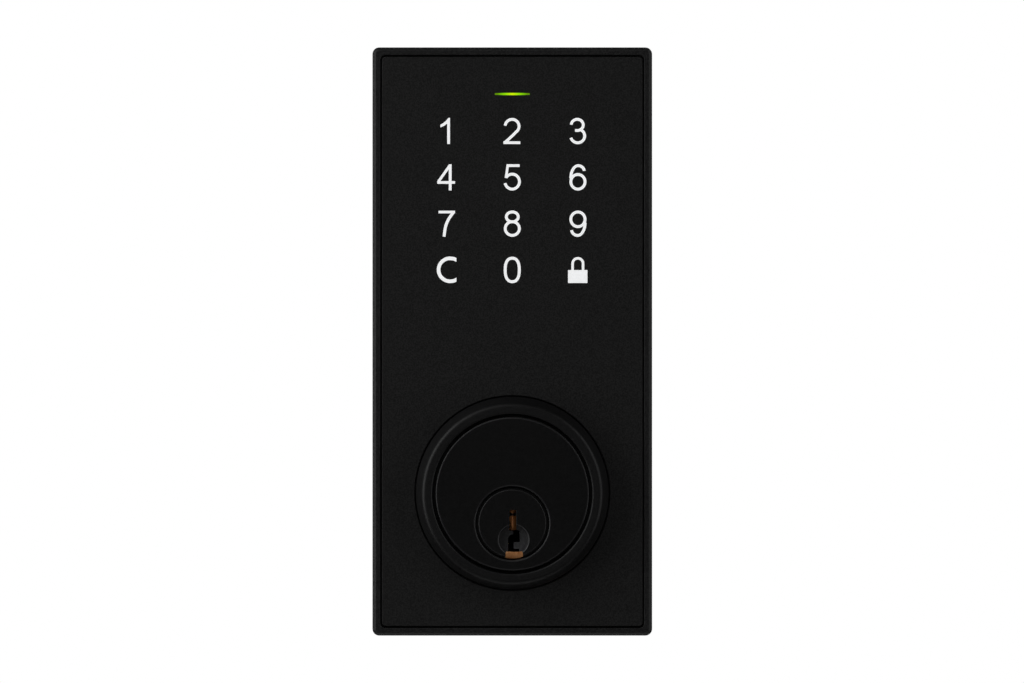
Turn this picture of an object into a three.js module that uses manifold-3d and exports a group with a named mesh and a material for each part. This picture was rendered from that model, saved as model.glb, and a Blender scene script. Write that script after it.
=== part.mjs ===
// Outside unit of a keypad smart lock: keypad housing, key cylinder with its collar, and back plate.
// Millimetres. +X is right as seen from outside, +Y goes into the door, +Z is up.
// The origin is the middle of the gasket's back face, which lies against the door.
import * as THREE from "three";
import { mergeVertices } from "three/addons/utils/BufferGeometryUtils.js";
import Module from "manifold-3d";

// ---- Driving dimensions

// Clearances
const fitGap = 0.3; // between fixed pieces that slip together
const turnGap = 0.25; // plug in its bore, pins in their chambers, screws in their holes
const seatGap = 0.1; // along the axis, where a turning piece meets its stop

// Cast housing: a box open at the back, with a shallow tray for the panel in front
const housing = { width: 58, height: 122, depth: 22, corner: 1.4, edge: 0.68, wall: 1.8, floor: 2 };
const rimWidth = 1.63;
const cavityCorner = 1;

// Panel and the adhesive sheet under it
const panel = { groove: 0.4, thick: 1.8, corner: 0.7, setback: 0.1 };
const tape = { thick: 0.3, inset: 0.4 };

// Keypad: three columns and four rows of touch legends, with a status light above
const keypad = { columnPitch: 13.6, rowPitch: 9.6, topRowBelowLight: 7.65 };
const well = { width: 6.6, height: 7.6, wall: 0.9 };
const led = { width: 1.6, height: 0.8, thick: 0.65 };
const statusLight = { belowPanelTop: 7.62, width: 7.15, middle: 0.47, end: 0.34, gap: 0.06 };
const pipeStem = { width: 7.6, height: 1.8, overLed: 0.4 };

// Circuit boards, stacked behind the keypad
const board = { sideMargin: 3.4, bottom: 3, thick: 1.6, spacing: 4.2 };
const boardBoss = { fromSide: 3.4, fromEnd: 3.3, r: 2 };
const boardScrew = { shankR: 0.9, headR: 2, headH: 1.3, tipGap: 1.4 };
const carrier = { wall: 1.6, tubeWall: 0.8 };
const boardLink = { width: 13, height: 3.4, aboveBottom: 5 };
const controlChip = { size: 7, thick: 0.9, x: 9, aboveBottom: 19 };
const radioModule = { width: 13, height: 16, thick: 2.2, fromSide: 5.3, aboveBottom: 33 };
const buzzer = { r: 4.6, thick: 3.4, holeR: 0.9, holeDeep: 1.4, x: 11, aboveBottom: 35 };
const cableSocket = { width: 14, height: 7, thick: 5.2, wall: 1, overhang: 0.5 };

// Door side
const gasketThick = 1.5;
const gasketInset = 0.3;
const backPlate = { thick: 1.5, corner: 0.8 };
const plateBoss = { fromSide: 4.4, fromEnd: 3.8, r: 2.8 };
const plateScrew = { shankR: 1.35, headR: 2.7, headH: 1.2, length: 10.5 };
const cableWindow = { width: 16, height: 9, aboveCylinder: 3.7, gasketMargin: 1 };
const post = { belowTop: 16, flangeR: 6, flangeH: 1.3, r: 4, end: 12, edge: 0.5 };
const postThread = { r: 2.1, deep: 13 };

// Screws: shares of the shank's radius, of the head's radius and of the head's height
const screwTip = { r: 0.6, height: 0.4 };
const screwHead = { side: 0.6, topR: 0.75, socketR: 0.42, socketFloor: 0.35 };

// Key cylinder, its collar and its plug
const cylinder = { aboveBottom: 29.6, headR: 15.82, headThick: 3.2, bodyR: 14.7, back: 8, edge: 0.35 };
const tieHole = { x: 10.5, r: 2.1, deep: 12 }; // threaded, for the two long screws from inside
const collar = { proud: 4.8, lipGap: 0.35, faceGap: 0.65, land: 2.03, taper: 1.45, straight: 0.4 };
const collarEdge = { inner: 0.4, outer: 0.9, steps: 4 };
const faceSetback = 0.2; // cylinder face behind the collar's front
const plug = { drop: 6.05, r: 6.35, flange: 2.3, flangeStep: 0.6, spigotStep: 0.75, spigot: 3.9, edge: 0.2 };
const plugShoulder = { step: 0.35, behindFace: 0.9 }; // round the flange, behind its face
const counterbore = { gap: 0.65, edge: 0.3 };
const keyStop = { x: 0.28, z: -3.41, r: 3.13, deep: 1 };
const mouthNotch = { left: -1.4, right: 2.15, top: -5.9 }; // down to the rim, as deep as the stop
const keywayEndWall = 0.8;
// The keyway's corners, X and Z from the plug's axis
const keywayCorners = [
  [-0.62, 2.72], [-0.62, -1.62], [0.1, -1.62], [0.2, -1.95], [0.2, -2.25], [-0.45, -2.45],
  [-0.85, -3.05], [-0.88, -5.93], [1.42, -5.93], [1.42, -5.3], [0.28, -5.3], [0.28, -3.9],
  [1.54, -3.9], [1.5, -1.62], [0.82, -1.32], [0.82, 2.72],
];

// Pin stacks, measured up from the plug's axis
const pins = { first: 6, pitch: 3.97, r: 1.3, edge: 0.25, pointH: 0.6, pointR: 0.7 };
const keyPinLengths = [7.9, 6.3, 7, 5.6, 6.6];
const shearGap = 0.2; // key pin tops below the plug's rim, at its middle
const keyPinFloor = -2.05;
const driverLength = 5.6;
const chamberRoof = 1.7; // below the top of the cylinder body
const coverStrip = { width: 4.4, thick: 1.2, margin: 0.8 };
const spring = { wire: 0.18, turns: 4 };

// Tailpiece and its cap
const tail = { width: 8, thick: 1.8, length: 45, headStep: 0.3, headThick: 1, cornerCut: 1.2 };
const score = { first: 12, pitch: 6, deep: 0.5, halfWidth: 0.5, endMargin: 5 };
const cap = { wall: 1.3, end: 1.4, recess: 1.2, recessGap: 0.4, edge: 0.4 };

// ---- Levels and places that several pieces share

const rimY = -housing.depth;
const panelFrontY = rimY + panel.setback;
const panelBackY = panelFrontY + panel.thick;
const floorFrontY = panelBackY + tape.thick;
const floorBackY = floorFrontY + housing.floor;
const touchBackY = floorBackY + board.thick;
const mainFrontY = touchBackY + board.spacing;
const mainBackY = mainFrontY + board.thick;
const plateBackY = -gasketThick;
const plateFrontY = plateBackY - backPlate.thick;

const trayWidth = housing.width - 2 * rimWidth;
const trayHeight = housing.height - 2 * rimWidth;
const panelWidth = trayWidth - 2 * panel.groove;
const panelHeight = trayHeight - 2 * panel.groove;
const cavityWidth = housing.width - 2 * housing.wall;
const cavityHeight = housing.height - 2 * housing.wall;

const statusZ = panelHeight / 2 - statusLight.belowPanelTop;
const topRowZ = statusZ - keypad.topRowBelowLight;
const middleRowsZ = topRowZ - 1.5 * keypad.rowPitch;
const maskWidth = 2 * keypad.columnPitch + well.width + 2 * well.wall;
const maskHeight = 3 * keypad.rowPitch + well.height + 2 * well.wall;

const corners = (x, low, high) => [[-x, low], [x, low], [-x, high], [x, high]];
const plateScrewX = cavityWidth / 2 - plateBoss.fromSide;
const plateScrewZ = cavityHeight / 2 - plateBoss.fromEnd;
const plateScrewPlaces = corners(plateScrewX, -plateScrewZ, plateScrewZ);
const plateScrewTipY = plateBackY - plateScrew.length;
const boardHalf = cavityWidth / 2 - board.sideMargin;
const boardTop = plateScrewZ - plateBoss.r - fitGap;
const boardScrewPlaces = corners(
  boardHalf - boardBoss.fromSide,
  board.bottom + boardBoss.fromEnd,
  boardTop - boardBoss.fromEnd,
);

const cylinderZ = -housing.height / 2 + cylinder.aboveBottom;
const plugZ = cylinderZ - plug.drop;
const collarFrontY = rimY - collar.proud;
const faceY = collarFrontY + faceSetback;
const headBackY = faceY + cylinder.headThick;
const collarInnerR = cylinder.headR + collar.faceGap;
const collarFrontR = collarInnerR + collar.land;
const collarBaseR = collarFrontR + collar.taper;
const collarSlopeEndY = rimY - collar.straight;
const collarLipR = cylinder.bodyR + collar.lipGap;
const plugFaceR = plug.r + plug.flangeStep;
const plugShoulderR = plugFaceR + plugShoulder.step;
const spigotR = plug.r - plug.spigotStep;
const counterboreR = plugFaceR + counterbore.gap;
const boreR = plug.r + turnGap;
const boreStepY = faceY + plug.flange + fitGap;
const capSeatY = cylinder.back - cap.recess;
const spigotEndY = capSeatY + seatGap + plug.spigot;
const windowZ = cylinderZ + cylinder.bodyR + cableWindow.aboveCylinder + cableWindow.height / 2;
const postZ = housing.height / 2 - post.belowTop;

const chamberR = pins.r + turnGap;
const pinPlaces = keyPinLengths.map((_, i) => faceY + pins.first + i * pins.pitch);
const keyPinTop = plug.r - shearGap;
const driverLow = plug.r + turnGap;
const driverTop = driverLow + driverLength;
const chamberTop = plug.drop + cylinder.bodyR - chamberRoof;
const stripFrontY = pinPlaces[0] - chamberR - coverStrip.margin;
const stripBackY = pinPlaces.at(-1) + chamberR + coverStrip.margin;

// ---- Solids: closed three.js meshes, joined and cut

const wasm = await Module();
wasm.setup();
const beyond = 1; // how far a cutting tool reaches past what it cuts

function solid(geometry) {
  const loose = geometry.index ? geometry.toNonIndexed() : geometry.clone();
  loose.deleteAttribute("normal");
  loose.deleteAttribute("uv");
  const merged = mergeVertices(loose, 1e-5);
  return new wasm.Manifold(new wasm.Mesh({
    numProp: 3,
    vertProperties: merged.attributes.position.array,
    triVerts: new Uint32Array(merged.index.array),
  }));
}

function join(...shapes) {
  return shapes.reduce((sum, next) => sum.add(next));
}

function cut(body, ...tools) {
  return tools.reduce((left, tool) => left.subtract(tool), body);
}

// A block from its low corner to its high corner
function block(x0, y0, z0, x1, y1, z1) {
  const shape = new THREE.BoxGeometry(x1 - x0, y1 - y0, z1 - z0);
  shape.translate((x0 + x1) / 2, (y0 + y1) / 2, (z0 + z1) / 2);
  return solid(shape);
}

// A block of a given width and height, centred on x and z
function slab(width, height, y0, y1, x = 0, z = 0) {
  return block(x - width / 2, y0, z - height / 2, x + width / 2, y1, z + height / 2);
}

// An outline drawn in X and Z, made solid from y0 to y1
function plateOf(outline, y0, y1, curveSegments = 4) {
  const shape = new THREE.ExtrudeGeometry(outline, { depth: y1 - y0, bevelEnabled: false, curveSegments });
  shape.rotateX(Math.PI / 2);
  shape.translate(0, y1, 0);
  return solid(shape);
}

function roundedOutline(width, height, r) {
  const x = width / 2;
  const z = height / 2;
  const outline = new THREE.Shape();
  outline.moveTo(-x + r, -z);
  outline.lineTo(x - r, -z);
  outline.absarc(x - r, -z + r, r, -Math.PI / 2, 0, false);
  outline.lineTo(x, z - r);
  outline.absarc(x - r, z - r, r, 0, Math.PI / 2, false);
  outline.lineTo(-x + r, z);
  outline.absarc(-x + r, z - r, r, Math.PI / 2, Math.PI, false);
  outline.lineTo(-x, -z + r);
  outline.absarc(-x + r, -z + r, r, Math.PI, 1.5 * Math.PI, false);
  return outline;
}

function polygon(points) {
  return new THREE.Shape(points.map(([x, z]) => new THREE.Vector2(x, z)));
}

function rodY(r, y0, y1, x = 0, z = 0, sides = 16) {
  const shape = new THREE.CylinderGeometry(r, r, y1 - y0, sides);
  shape.translate(x, (y0 + y1) / 2, z);
  return solid(shape);
}

function rodZ(r, z0, z1, y, sides = 12) {
  const shape = new THREE.CylinderGeometry(r, r, z1 - z0, sides);
  shape.rotateX(Math.PI / 2);
  shape.translate(0, y, (z0 + z1) / 2);
  return solid(shape);
}

// A turned piece: radius and Y pairs, going round an axis along Y
function turned(profile, z = 0, sides = 32, x = 0) {
  const shape = new THREE.LatheGeometry(profile.map(([r, y]) => new THREE.Vector2(r, y)), sides);
  shape.translate(x, 0, z);
  return solid(shape);
}

const part = new THREE.Group();
part.name = "keypad_smart_lock";

function add(name, body, colour, roughness, metalness) {
  const made = body.getMesh();
  const shape = new THREE.BufferGeometry();
  shape.setAttribute("position", new THREE.BufferAttribute(new Float32Array(made.vertProperties), 3));
  shape.setIndex(new THREE.BufferAttribute(new Uint32Array(made.triVerts), 1));
  shape.computeVertexNormals();
  const mesh = new THREE.Mesh(shape, new THREE.MeshStandardMaterial({ color: colour, roughness, metalness }));
  mesh.name = name;
  part.add(mesh);
}

const steel = [0xb4b6b8, 0.35, 1];
const brass = [0xb08d57, 0.4, 1];
const blackPlastic = [0x1a1a1b, 0.55, 0];
const circuitGreen = [0x1d4a2c, 0.5, 0];

// ---- Front housing: die-cast box; the tray floor carries eight bosses behind it

const shellFront = roundedOutline(
  housing.width - 2 * housing.edge,
  housing.height - 2 * housing.edge,
  housing.corner - housing.edge,
);
const shellBlank = new THREE.ExtrudeGeometry(shellFront, {
  depth: housing.depth,
  bevelThickness: housing.edge,
  bevelSize: housing.edge,
  bevelSegments: 1,
  curveSegments: 4,
});
shellBlank.rotateX(Math.PI / 2);
shellBlank.translate(0, rimY + housing.edge + housing.depth, 0);

// The way through the tray floor and the adhesive sheet for the light mask and the light pipe
const lightWays = [
  slab(maskWidth + 2 * fitGap, maskHeight + 2 * fitGap, rimY, 0, 0, middleRowsZ),
  slab(pipeStem.width + 2 * fitGap, pipeStem.height + 2 * fitGap, rimY, 0, 0, statusZ),
];
const bossRoot = housing.floor / 2;
const bosses = join(
  ...plateScrewPlaces.map(([x, z]) => rodY(plateBoss.r, floorBackY - bossRoot, plateFrontY, x, z)),
  ...boardScrewPlaces.map(([x, z]) => rodY(boardBoss.r, floorBackY - bossRoot, mainFrontY, x, z)),
);
const cavityOutline = roundedOutline(cavityWidth, cavityHeight, cavityCorner);
add("front_housing", cut(
  join(
    cut(
      solid(shellBlank),
      slab(2 * housing.width, 2 * housing.height, plateBackY, housing.depth),
      plateOf(roundedOutline(trayWidth, trayHeight, panel.corner + panel.groove), rimY - beyond, floorFrontY),
      plateOf(cavityOutline, floorBackY, 0),
    ),
    bosses,
  ),
  ...plateScrewPlaces.map(([x, z]) =>
    rodY(plateScrew.shankR + turnGap, plateScrewTipY - fitGap, 0, x, z, 12)),
  ...boardScrewPlaces.map(([x, z]) =>
    rodY(boardScrew.shankR + turnGap, floorBackY + boardScrew.tipGap - fitGap, 0, x, z, 12)),
  ...lightWays,
  rodY(collarLipR + turnGap, rimY, 0, 0, cylinderZ, 48),
), 0x1c1c1d, 0.62, 0.2);

// ---- Keypad panel: flush plate with the status light's slit and a hole for the collar

// The slit is a slim oval with blunt ends
function slitPlate(gap, y0, y1) {
  const x = statusLight.width / 2 + gap;
  const end = statusLight.end / 2 + gap;
  const bow = statusLight.middle - statusLight.end / 2 + gap;
  const outline = new THREE.Shape();
  outline.moveTo(-x, -end);
  outline.quadraticCurveTo(0, -bow, x, -end);
  outline.lineTo(x, end);
  outline.quadraticCurveTo(0, bow, -x, end);
  return plateOf(outline, y0, y1, 8).translate([0, 0, statusZ]);
}

add("keypad_panel", cut(
  plateOf(roundedOutline(panelWidth, panelHeight, panel.corner), panelFrontY, panelBackY),
  slitPlate(statusLight.gap, panelFrontY - beyond, panelBackY + beyond),
  rodY(collarBaseR + turnGap, rimY, 0, 0, cylinderZ, 48),
), 0x18181a, 0.55, 0);

add("panel_seal", cut(
  plateOf(
    roundedOutline(panelWidth - 2 * tape.inset, panelHeight - 2 * tape.inset, panel.corner),
    panelBackY,
    floorFrontY,
  ),
  ...lightWays,
  rodY(collarBaseR + fitGap, rimY, 0, 0, cylinderZ, 48),
), 0x101010, 0.9, 0);

// ---- Light mask: moulded plate with one well for each legend, and the status light's pipe

const keyPlaces = [0, 1, 2, 3].flatMap((row) => [-1, 0, 1].map((column) => ({
  x: column * keypad.columnPitch,
  z: topRowZ - row * keypad.rowPitch,
})));
add("light_mask", cut(
  slab(maskWidth, maskHeight, panelBackY, floorBackY, 0, middleRowsZ),
  ...keyPlaces.map(({ x, z }) => slab(well.width, well.height, rimY, 0, x, z)),
), 0xe8e8e4, 0.6, 0);
add("status_light_pipe", join(
  slitPlate(0, panelFrontY, panelBackY + tape.thick / 2),
  slab(pipeStem.width, pipeStem.height, panelBackY, floorBackY - led.thick - pipeStem.overLed, 0, statusZ),
), 0xc8f0a0, 0.15, 0);

// ---- Touch board with a light behind every legend

function boardBlank(y0, y1, inset = 0) {
  return block(-boardHalf + inset, y0, board.bottom + inset, boardHalf - inset, y1, boardTop - inset);
}

const bossHoles = boardScrewPlaces.map(([x, z]) => rodY(boardBoss.r + fitGap, rimY, 0, x, z));
add("touch_board", cut(boardBlank(floorBackY, touchBackY), ...bossHoles), ...circuitGreen);

function addLed(name, x, z) {
  add(name, slab(led.width, led.height, floorBackY - led.thick, floorBackY, x, z), 0xf4f2e6, 0.3, 0);
}

keyPlaces.forEach(({ x, z }, i) => addLed(`key_light_${i + 1}`, x, z));
addLed("status_light", 0, statusZ);

// ---- Board carrier: moulded frame whose four tubes slip over the housing's bosses

const tubeR = boardBoss.r + fitGap + carrier.tubeWall;
add("board_carrier", cut(
  join(
    cut(boardBlank(touchBackY, mainFrontY), boardBlank(rimY, 0, carrier.wall)),
    ...boardScrewPlaces.map(([x, z]) => rodY(tubeR, touchBackY, mainFrontY, x, z)),
  ),
  ...bossHoles,
), ...blackPlastic);

// ---- Main board and what is soldered to it

add("main_board", cut(
  boardBlank(mainFrontY, mainBackY),
  ...boardScrewPlaces.map(([x, z]) => rodY(boardScrew.shankR + fitGap, rimY, 0, x, z, 12)),
), ...circuitGreen);
add("board_link", slab(
  boardLink.width, boardLink.height, touchBackY, mainFrontY, 0, board.bottom + boardLink.aboveBottom,
), ...blackPlastic);
add("control_chip", slab(
  controlChip.size, controlChip.size, mainBackY, mainBackY + controlChip.thick,
  controlChip.x, board.bottom + controlChip.aboveBottom,
), ...blackPlastic);
const radioX = -boardHalf + radioModule.fromSide + radioModule.width / 2;
add("radio_module", slab(
  radioModule.width, radioModule.height, mainBackY, mainBackY + radioModule.thick,
  radioX, board.bottom + radioModule.aboveBottom,
), 0xb8bcc0, 0.3, 0.9);
const buzzerZ = board.bottom + buzzer.aboveBottom;
const buzzerBackY = mainBackY + buzzer.thick;
add("buzzer", cut(
  rodY(buzzer.r, mainBackY, buzzerBackY, buzzer.x, buzzerZ, 20),
  rodY(buzzer.holeR, buzzerBackY - buzzer.holeDeep, buzzerBackY + beyond, buzzer.x, buzzerZ, 12),
), ...blackPlastic);
const socketLow = board.bottom - cableSocket.overhang;
add("cable_socket", cut(
  block(
    -cableSocket.width / 2, mainBackY, socketLow,
    cableSocket.width / 2, mainBackY + cableSocket.thick, socketLow + cableSocket.height,
  ),
  block(
    -cableSocket.width / 2 + cableSocket.wall, mainBackY + cableSocket.wall, socketLow - beyond,
    cableSocket.width / 2 - cableSocket.wall, mainBackY + cableSocket.thick - cableSocket.wall,
    socketLow + cableSocket.height - 2 * cableSocket.wall,
  ),
), 0xe6e2d4, 0.5, 0);

// ---- Screws: turned, with a six-sided socket in the head

function screw({ shankR, headR, headH }, length, headY, x, z) {
  return cut(
    turned([
      [0, headY - length],
      [shankR * screwTip.r, headY - length],
      [shankR, headY - length + shankR * screwTip.height],
      [shankR, headY],
      [headR, headY],
      [headR, headY + headH * screwHead.side],
      [headR * screwHead.topR, headY + headH],
      [0, headY + headH],
    ], z, 12, x),
    rodY(headR * screwHead.socketR, headY + headH * screwHead.socketFloor, headY + headH + beyond, x, z, 6),
  );
}

const boardScrewLength = mainBackY - floorBackY - boardScrew.tipGap;
boardScrewPlaces.forEach(([x, z], i) => {
  add(`board_screw_${i + 1}`, screw(boardScrew, boardScrewLength, mainBackY, x, z), ...steel);
});

// ---- Back plate, its screws, the mounting post and the gasket

function windowSlab(margin) {
  const { width, height } = cableWindow;
  return slab(width + 2 * margin, height + 2 * margin, rimY, beyond, 0, windowZ);
}

add("back_plate", cut(
  plateOf(
    roundedOutline(cavityWidth - 2 * fitGap, cavityHeight - 2 * fitGap, backPlate.corner),
    plateFrontY,
    plateBackY,
  ),
  rodY(cylinder.bodyR + 2 * fitGap, rimY, 0, 0, cylinderZ, 64),
  windowSlab(0),
  rodY(post.r + fitGap, rimY, 0, 0, postZ, 32),
  ...plateScrewPlaces.map(([x, z]) => rodY(plateScrew.shankR + fitGap, rimY, 0, x, z, 12)),
), 0xa9acb0, 0.4, 1);
plateScrewPlaces.forEach(([x, z], i) => {
  add(`back_plate_screw_${i + 1}`, screw(plateScrew, plateScrew.length, plateBackY, x, z), ...steel);
});
add("upper_mounting_post", cut(
  turned([
    [0, plateFrontY - post.flangeH],
    [post.flangeR, plateFrontY - post.flangeH],
    [post.flangeR, plateFrontY],
    [post.r, plateFrontY],
    [post.r, post.end - post.edge],
    [post.r - post.edge, post.end],
    [0, post.end],
  ], postZ, 24),
  rodY(postThread.r, post.end - postThread.deep, post.end + beyond, 0, postZ),
), ...steel);
add("door_gasket", cut(
  plateOf(
    roundedOutline(housing.width - 2 * gasketInset, housing.height - 2 * gasketInset, housing.corner),
    plateBackY,
    0,
  ),
  rodY(cylinder.bodyR + 3 * fitGap, rimY, beyond, 0, cylinderZ, 64),
  windowSlab(cableWindow.gasketMargin),
  rodY(post.r + 2 * fitGap, rimY, beyond, 0, postZ, 32),
  ...plateScrewPlaces.map(([x, z]) => rodY(plateScrew.headR + 2 * fitGap, rimY, beyond, x, z, 32)),
), 0x202022, 0.95, 0);

// ---- Collar: tapers to a flat front; its inner lip is clamped between cylinder head and tray

const collarCorner = new THREE.Vector2(collarFrontR, collarFrontY);
const slope = new THREE.Vector2(collarBaseR, collarSlopeEndY).sub(collarCorner).setLength(collarEdge.outer);
const roundedCorner = new THREE.QuadraticBezierCurve(
  new THREE.Vector2(collarFrontR - collarEdge.outer, collarFrontY),
  collarCorner,
  slope.add(collarCorner),
).getPoints(collarEdge.steps).map(({ x, y }) => [x, y]);
add("cylinder_collar", turned([
  [collarInnerR + collarEdge.inner, collarFrontY],
  ...roundedCorner,
  [collarBaseR, collarSlopeEndY],
  [collarBaseR, floorFrontY],
  [collarLipR, floorFrontY],
  [collarLipR, headBackY],
  [collarInnerR, headBackY],
  [collarInnerR, collarFrontY + collarEdge.inner],
  [collarInnerR + collarEdge.inner, collarFrontY],
], cylinderZ, 48), 0x161617, 0.4, 0.3);

// ---- Cylinder housing: the plug's bore lies low, with five pin chambers above it

add("cylinder_housing", cut(
  turned([
    [0, faceY],
    [cylinder.headR - cylinder.edge, faceY],
    [cylinder.headR, faceY + cylinder.edge],
    [cylinder.headR, headBackY],
    [cylinder.bodyR, headBackY],
    [cylinder.bodyR, cylinder.back - cylinder.edge],
    [cylinder.bodyR - cylinder.edge, cylinder.back],
    [0, cylinder.back],
  ], cylinderZ, 48),
  turned([
    [0, faceY - beyond],
    [counterboreR + counterbore.edge + beyond, faceY - beyond],
    [counterboreR, faceY + counterbore.edge],
    [counterboreR, boreStepY],
    [boreR, boreStepY],
    [boreR, capSeatY],
    [spigotR + fitGap + cap.wall + cap.recessGap, capSeatY],
    [spigotR + fitGap + cap.wall + cap.recessGap, cylinder.back + beyond],
    [0, cylinder.back + beyond],
  ], plugZ),
  ...pinPlaces.map((y) => rodZ(chamberR, plugZ + plug.r / 2, plugZ + chamberTop + beyond, y)),
  block(
    -coverStrip.width / 2 - fitGap, stripFrontY - fitGap, plugZ + chamberTop,
    coverStrip.width / 2 + fitGap, stripBackY + fitGap, plugZ + chamberTop + chamberRoof + beyond,
  ),
  ...[-tieHole.x, tieHole.x].map((x) =>
    rodY(tieHole.r, cylinder.back - tieHole.deep, cylinder.back + beyond, x, cylinderZ)),
), 0x151515, 0.35, 0.4);
add("pin_chamber_cover", block(
  -coverStrip.width / 2, stripFrontY, plugZ + chamberTop,
  coverStrip.width / 2, stripBackY, plugZ + chamberTop + coverStrip.thick,
), ...brass);

// ---- Plug: the keyway is broached from the front, and the round key stop is milled over it

add("cylinder_plug", cut(
  turned([
    [0, faceY],
    [plugFaceR - plug.edge, faceY],
    [plugFaceR, faceY + plug.edge],
    [plugFaceR, faceY + plugShoulder.behindFace],
    [plugShoulderR, faceY + plugShoulder.behindFace],
    [plugShoulderR, faceY + plug.flange],
    [plug.r, faceY + plug.flange],
    [plug.r, capSeatY + seatGap],
    [spigotR, capSeatY + seatGap],
    [spigotR, spigotEndY],
    [0, spigotEndY],
  ], plugZ),
  rodY(keyStop.r, faceY - beyond, faceY + keyStop.deep, keyStop.x, plugZ + keyStop.z, 24),
  block(
    mouthNotch.left, faceY - beyond, plugZ - plugShoulderR - beyond,
    mouthNotch.right, faceY + keyStop.deep, plugZ + mouthNotch.top,
  ),
  plateOf(polygon(keywayCorners), faceY - beyond, capSeatY - keywayEndWall).translate([0, 0, plugZ]),
  ...pinPlaces.map((y) => rodZ(chamberR, plugZ + keyPinFloor, plugZ + plug.r + beyond, y)),
), 0x151515, 0.35, 0.4);

// ---- Pin stacks: pointed key pins, driver pins and springs

function turnedPin(profile, y) {
  const shape = new THREE.LatheGeometry(profile.map(([r, z]) => new THREE.Vector2(r, z)), 12);
  shape.rotateX(Math.PI / 2);
  shape.translate(0, y, plugZ);
  return solid(shape);
}

class Coil extends THREE.Curve {
  constructor(y, low, high) {
    super();
    this.y = y;
    this.low = low;
    this.high = high;
    this.r = pins.r - spring.wire - fitGap / 2;
  }

  getPoint(t, point = new THREE.Vector3()) {
    const angle = t * spring.turns * 2 * Math.PI;
    return point.set(
      this.r * Math.cos(angle),
      this.y + this.r * Math.sin(angle),
      this.low + t * (this.high - this.low),
    );
  }
}

const wireOutline = new THREE.Shape();
wireOutline.absarc(0, 0, spring.wire, 0, 2 * Math.PI, false);
pinPlaces.forEach((y, i) => {
  const tip = keyPinTop - keyPinLengths[i];
  add(`key_pin_${i + 1}`, turnedPin([
    [0, tip],
    [pins.pointR, tip],
    [pins.r, tip + pins.pointH],
    [pins.r, keyPinTop - pins.edge],
    [pins.r - pins.edge, keyPinTop],
    [0, keyPinTop],
  ], y), ...brass);
  add(`driver_pin_${i + 1}`, turnedPin([
    [0, driverLow],
    [pins.r - pins.edge, driverLow],
    [pins.r, driverLow + pins.edge],
    [pins.r, driverTop - pins.edge],
    [pins.r - pins.edge, driverTop],
    [0, driverTop],
  ], y), ...brass);
  add(`pin_spring_${i + 1}`, solid(new THREE.ExtrudeGeometry(wireOutline, {
    steps: spring.turns * 8,
    curveSegments: 2,
    extrudePath: new Coil(y, plugZ + driverTop + fitGap, plugZ + chamberTop - fitGap),
  })), 0xc0c4c8, 0.3, 1);
});

// ---- Tailpiece: flat bar with a round head, scored so that it can be snapped to length

const tailHeadEndY = spigotEndY + tail.headThick;
const tailEndY = tailHeadEndY + tail.length;
const tailHalf = tail.width / 2;
const upperEdge = [[tailHeadEndY - tail.headThick / 2, tailHalf]];
for (let y = tailHeadEndY + score.first; y < tailEndY - score.endMargin; y += score.pitch) {
  upperEdge.push(
    [y - score.halfWidth, tailHalf],
    [y, tailHalf - score.deep],
    [y + score.halfWidth, tailHalf],
  );
}
upperEdge.push([tailEndY - tail.cornerCut, tailHalf], [tailEndY, tailHalf - tail.cornerCut]);
const lowerEdge = upperEdge.map(([y, z]) => [y, -z]).reverse();
const bar = new THREE.ExtrudeGeometry(polygon([...upperEdge, ...lowerEdge]), {
  depth: tail.thick,
  bevelEnabled: false,
});
bar.applyMatrix4(new THREE.Matrix4().makeBasis(
  new THREE.Vector3(0, 1, 0),
  new THREE.Vector3(0, 0, 1),
  new THREE.Vector3(1, 0, 0),
));
bar.translate(-tail.thick / 2, 0, plugZ);
add("tailpiece", join(
  solid(bar),
  rodY(spigotR - tail.headStep, spigotEndY, tailHeadEndY, 0, plugZ, 24),
), ...steel);

// ---- Tailpiece cap: screws onto the plug's spigot and holds the tailpiece's head

const capInnerR = spigotR + fitGap;
const capR = capInnerR + cap.wall;
const capBackY = tailHeadEndY + cap.end;
const capMouthR = Math.hypot(tail.width, tail.thick) / 2 + fitGap;
add("tailpiece_cap", turned([
  [capInnerR, capSeatY + fitGap],
  [capR, capSeatY + fitGap],
  [capR, capBackY - cap.edge],
  [capR - cap.edge, capBackY],
  [capMouthR, capBackY],
  [capMouthR, tailHeadEndY],
  [capInnerR, tailHeadEndY],
  [capInnerR, capSeatY + fitGap],
], plugZ), ...brass);

export default part;
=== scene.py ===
import math

import bmesh
import bpy
import numpy as np
from mathutils import Matrix, Vector
from mathutils.geometry import delaunay_2d_cdt


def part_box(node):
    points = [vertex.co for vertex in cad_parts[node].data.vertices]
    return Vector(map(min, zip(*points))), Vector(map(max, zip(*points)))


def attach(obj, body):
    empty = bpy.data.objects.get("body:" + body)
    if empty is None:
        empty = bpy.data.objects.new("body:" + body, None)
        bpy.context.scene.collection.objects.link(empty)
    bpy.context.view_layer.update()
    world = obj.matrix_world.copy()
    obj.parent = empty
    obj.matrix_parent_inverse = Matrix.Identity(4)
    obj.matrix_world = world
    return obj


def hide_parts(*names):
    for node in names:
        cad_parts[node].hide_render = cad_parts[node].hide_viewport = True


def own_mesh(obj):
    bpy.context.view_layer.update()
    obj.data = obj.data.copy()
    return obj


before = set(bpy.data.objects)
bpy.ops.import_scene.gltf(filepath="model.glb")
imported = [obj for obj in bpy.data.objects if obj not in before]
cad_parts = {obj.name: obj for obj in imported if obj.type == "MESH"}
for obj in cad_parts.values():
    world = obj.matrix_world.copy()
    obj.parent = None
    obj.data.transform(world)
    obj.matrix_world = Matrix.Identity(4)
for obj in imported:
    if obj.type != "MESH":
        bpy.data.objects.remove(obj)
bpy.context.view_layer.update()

scene = bpy.context.scene
scene.view_settings.view_transform = "Standard"

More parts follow.
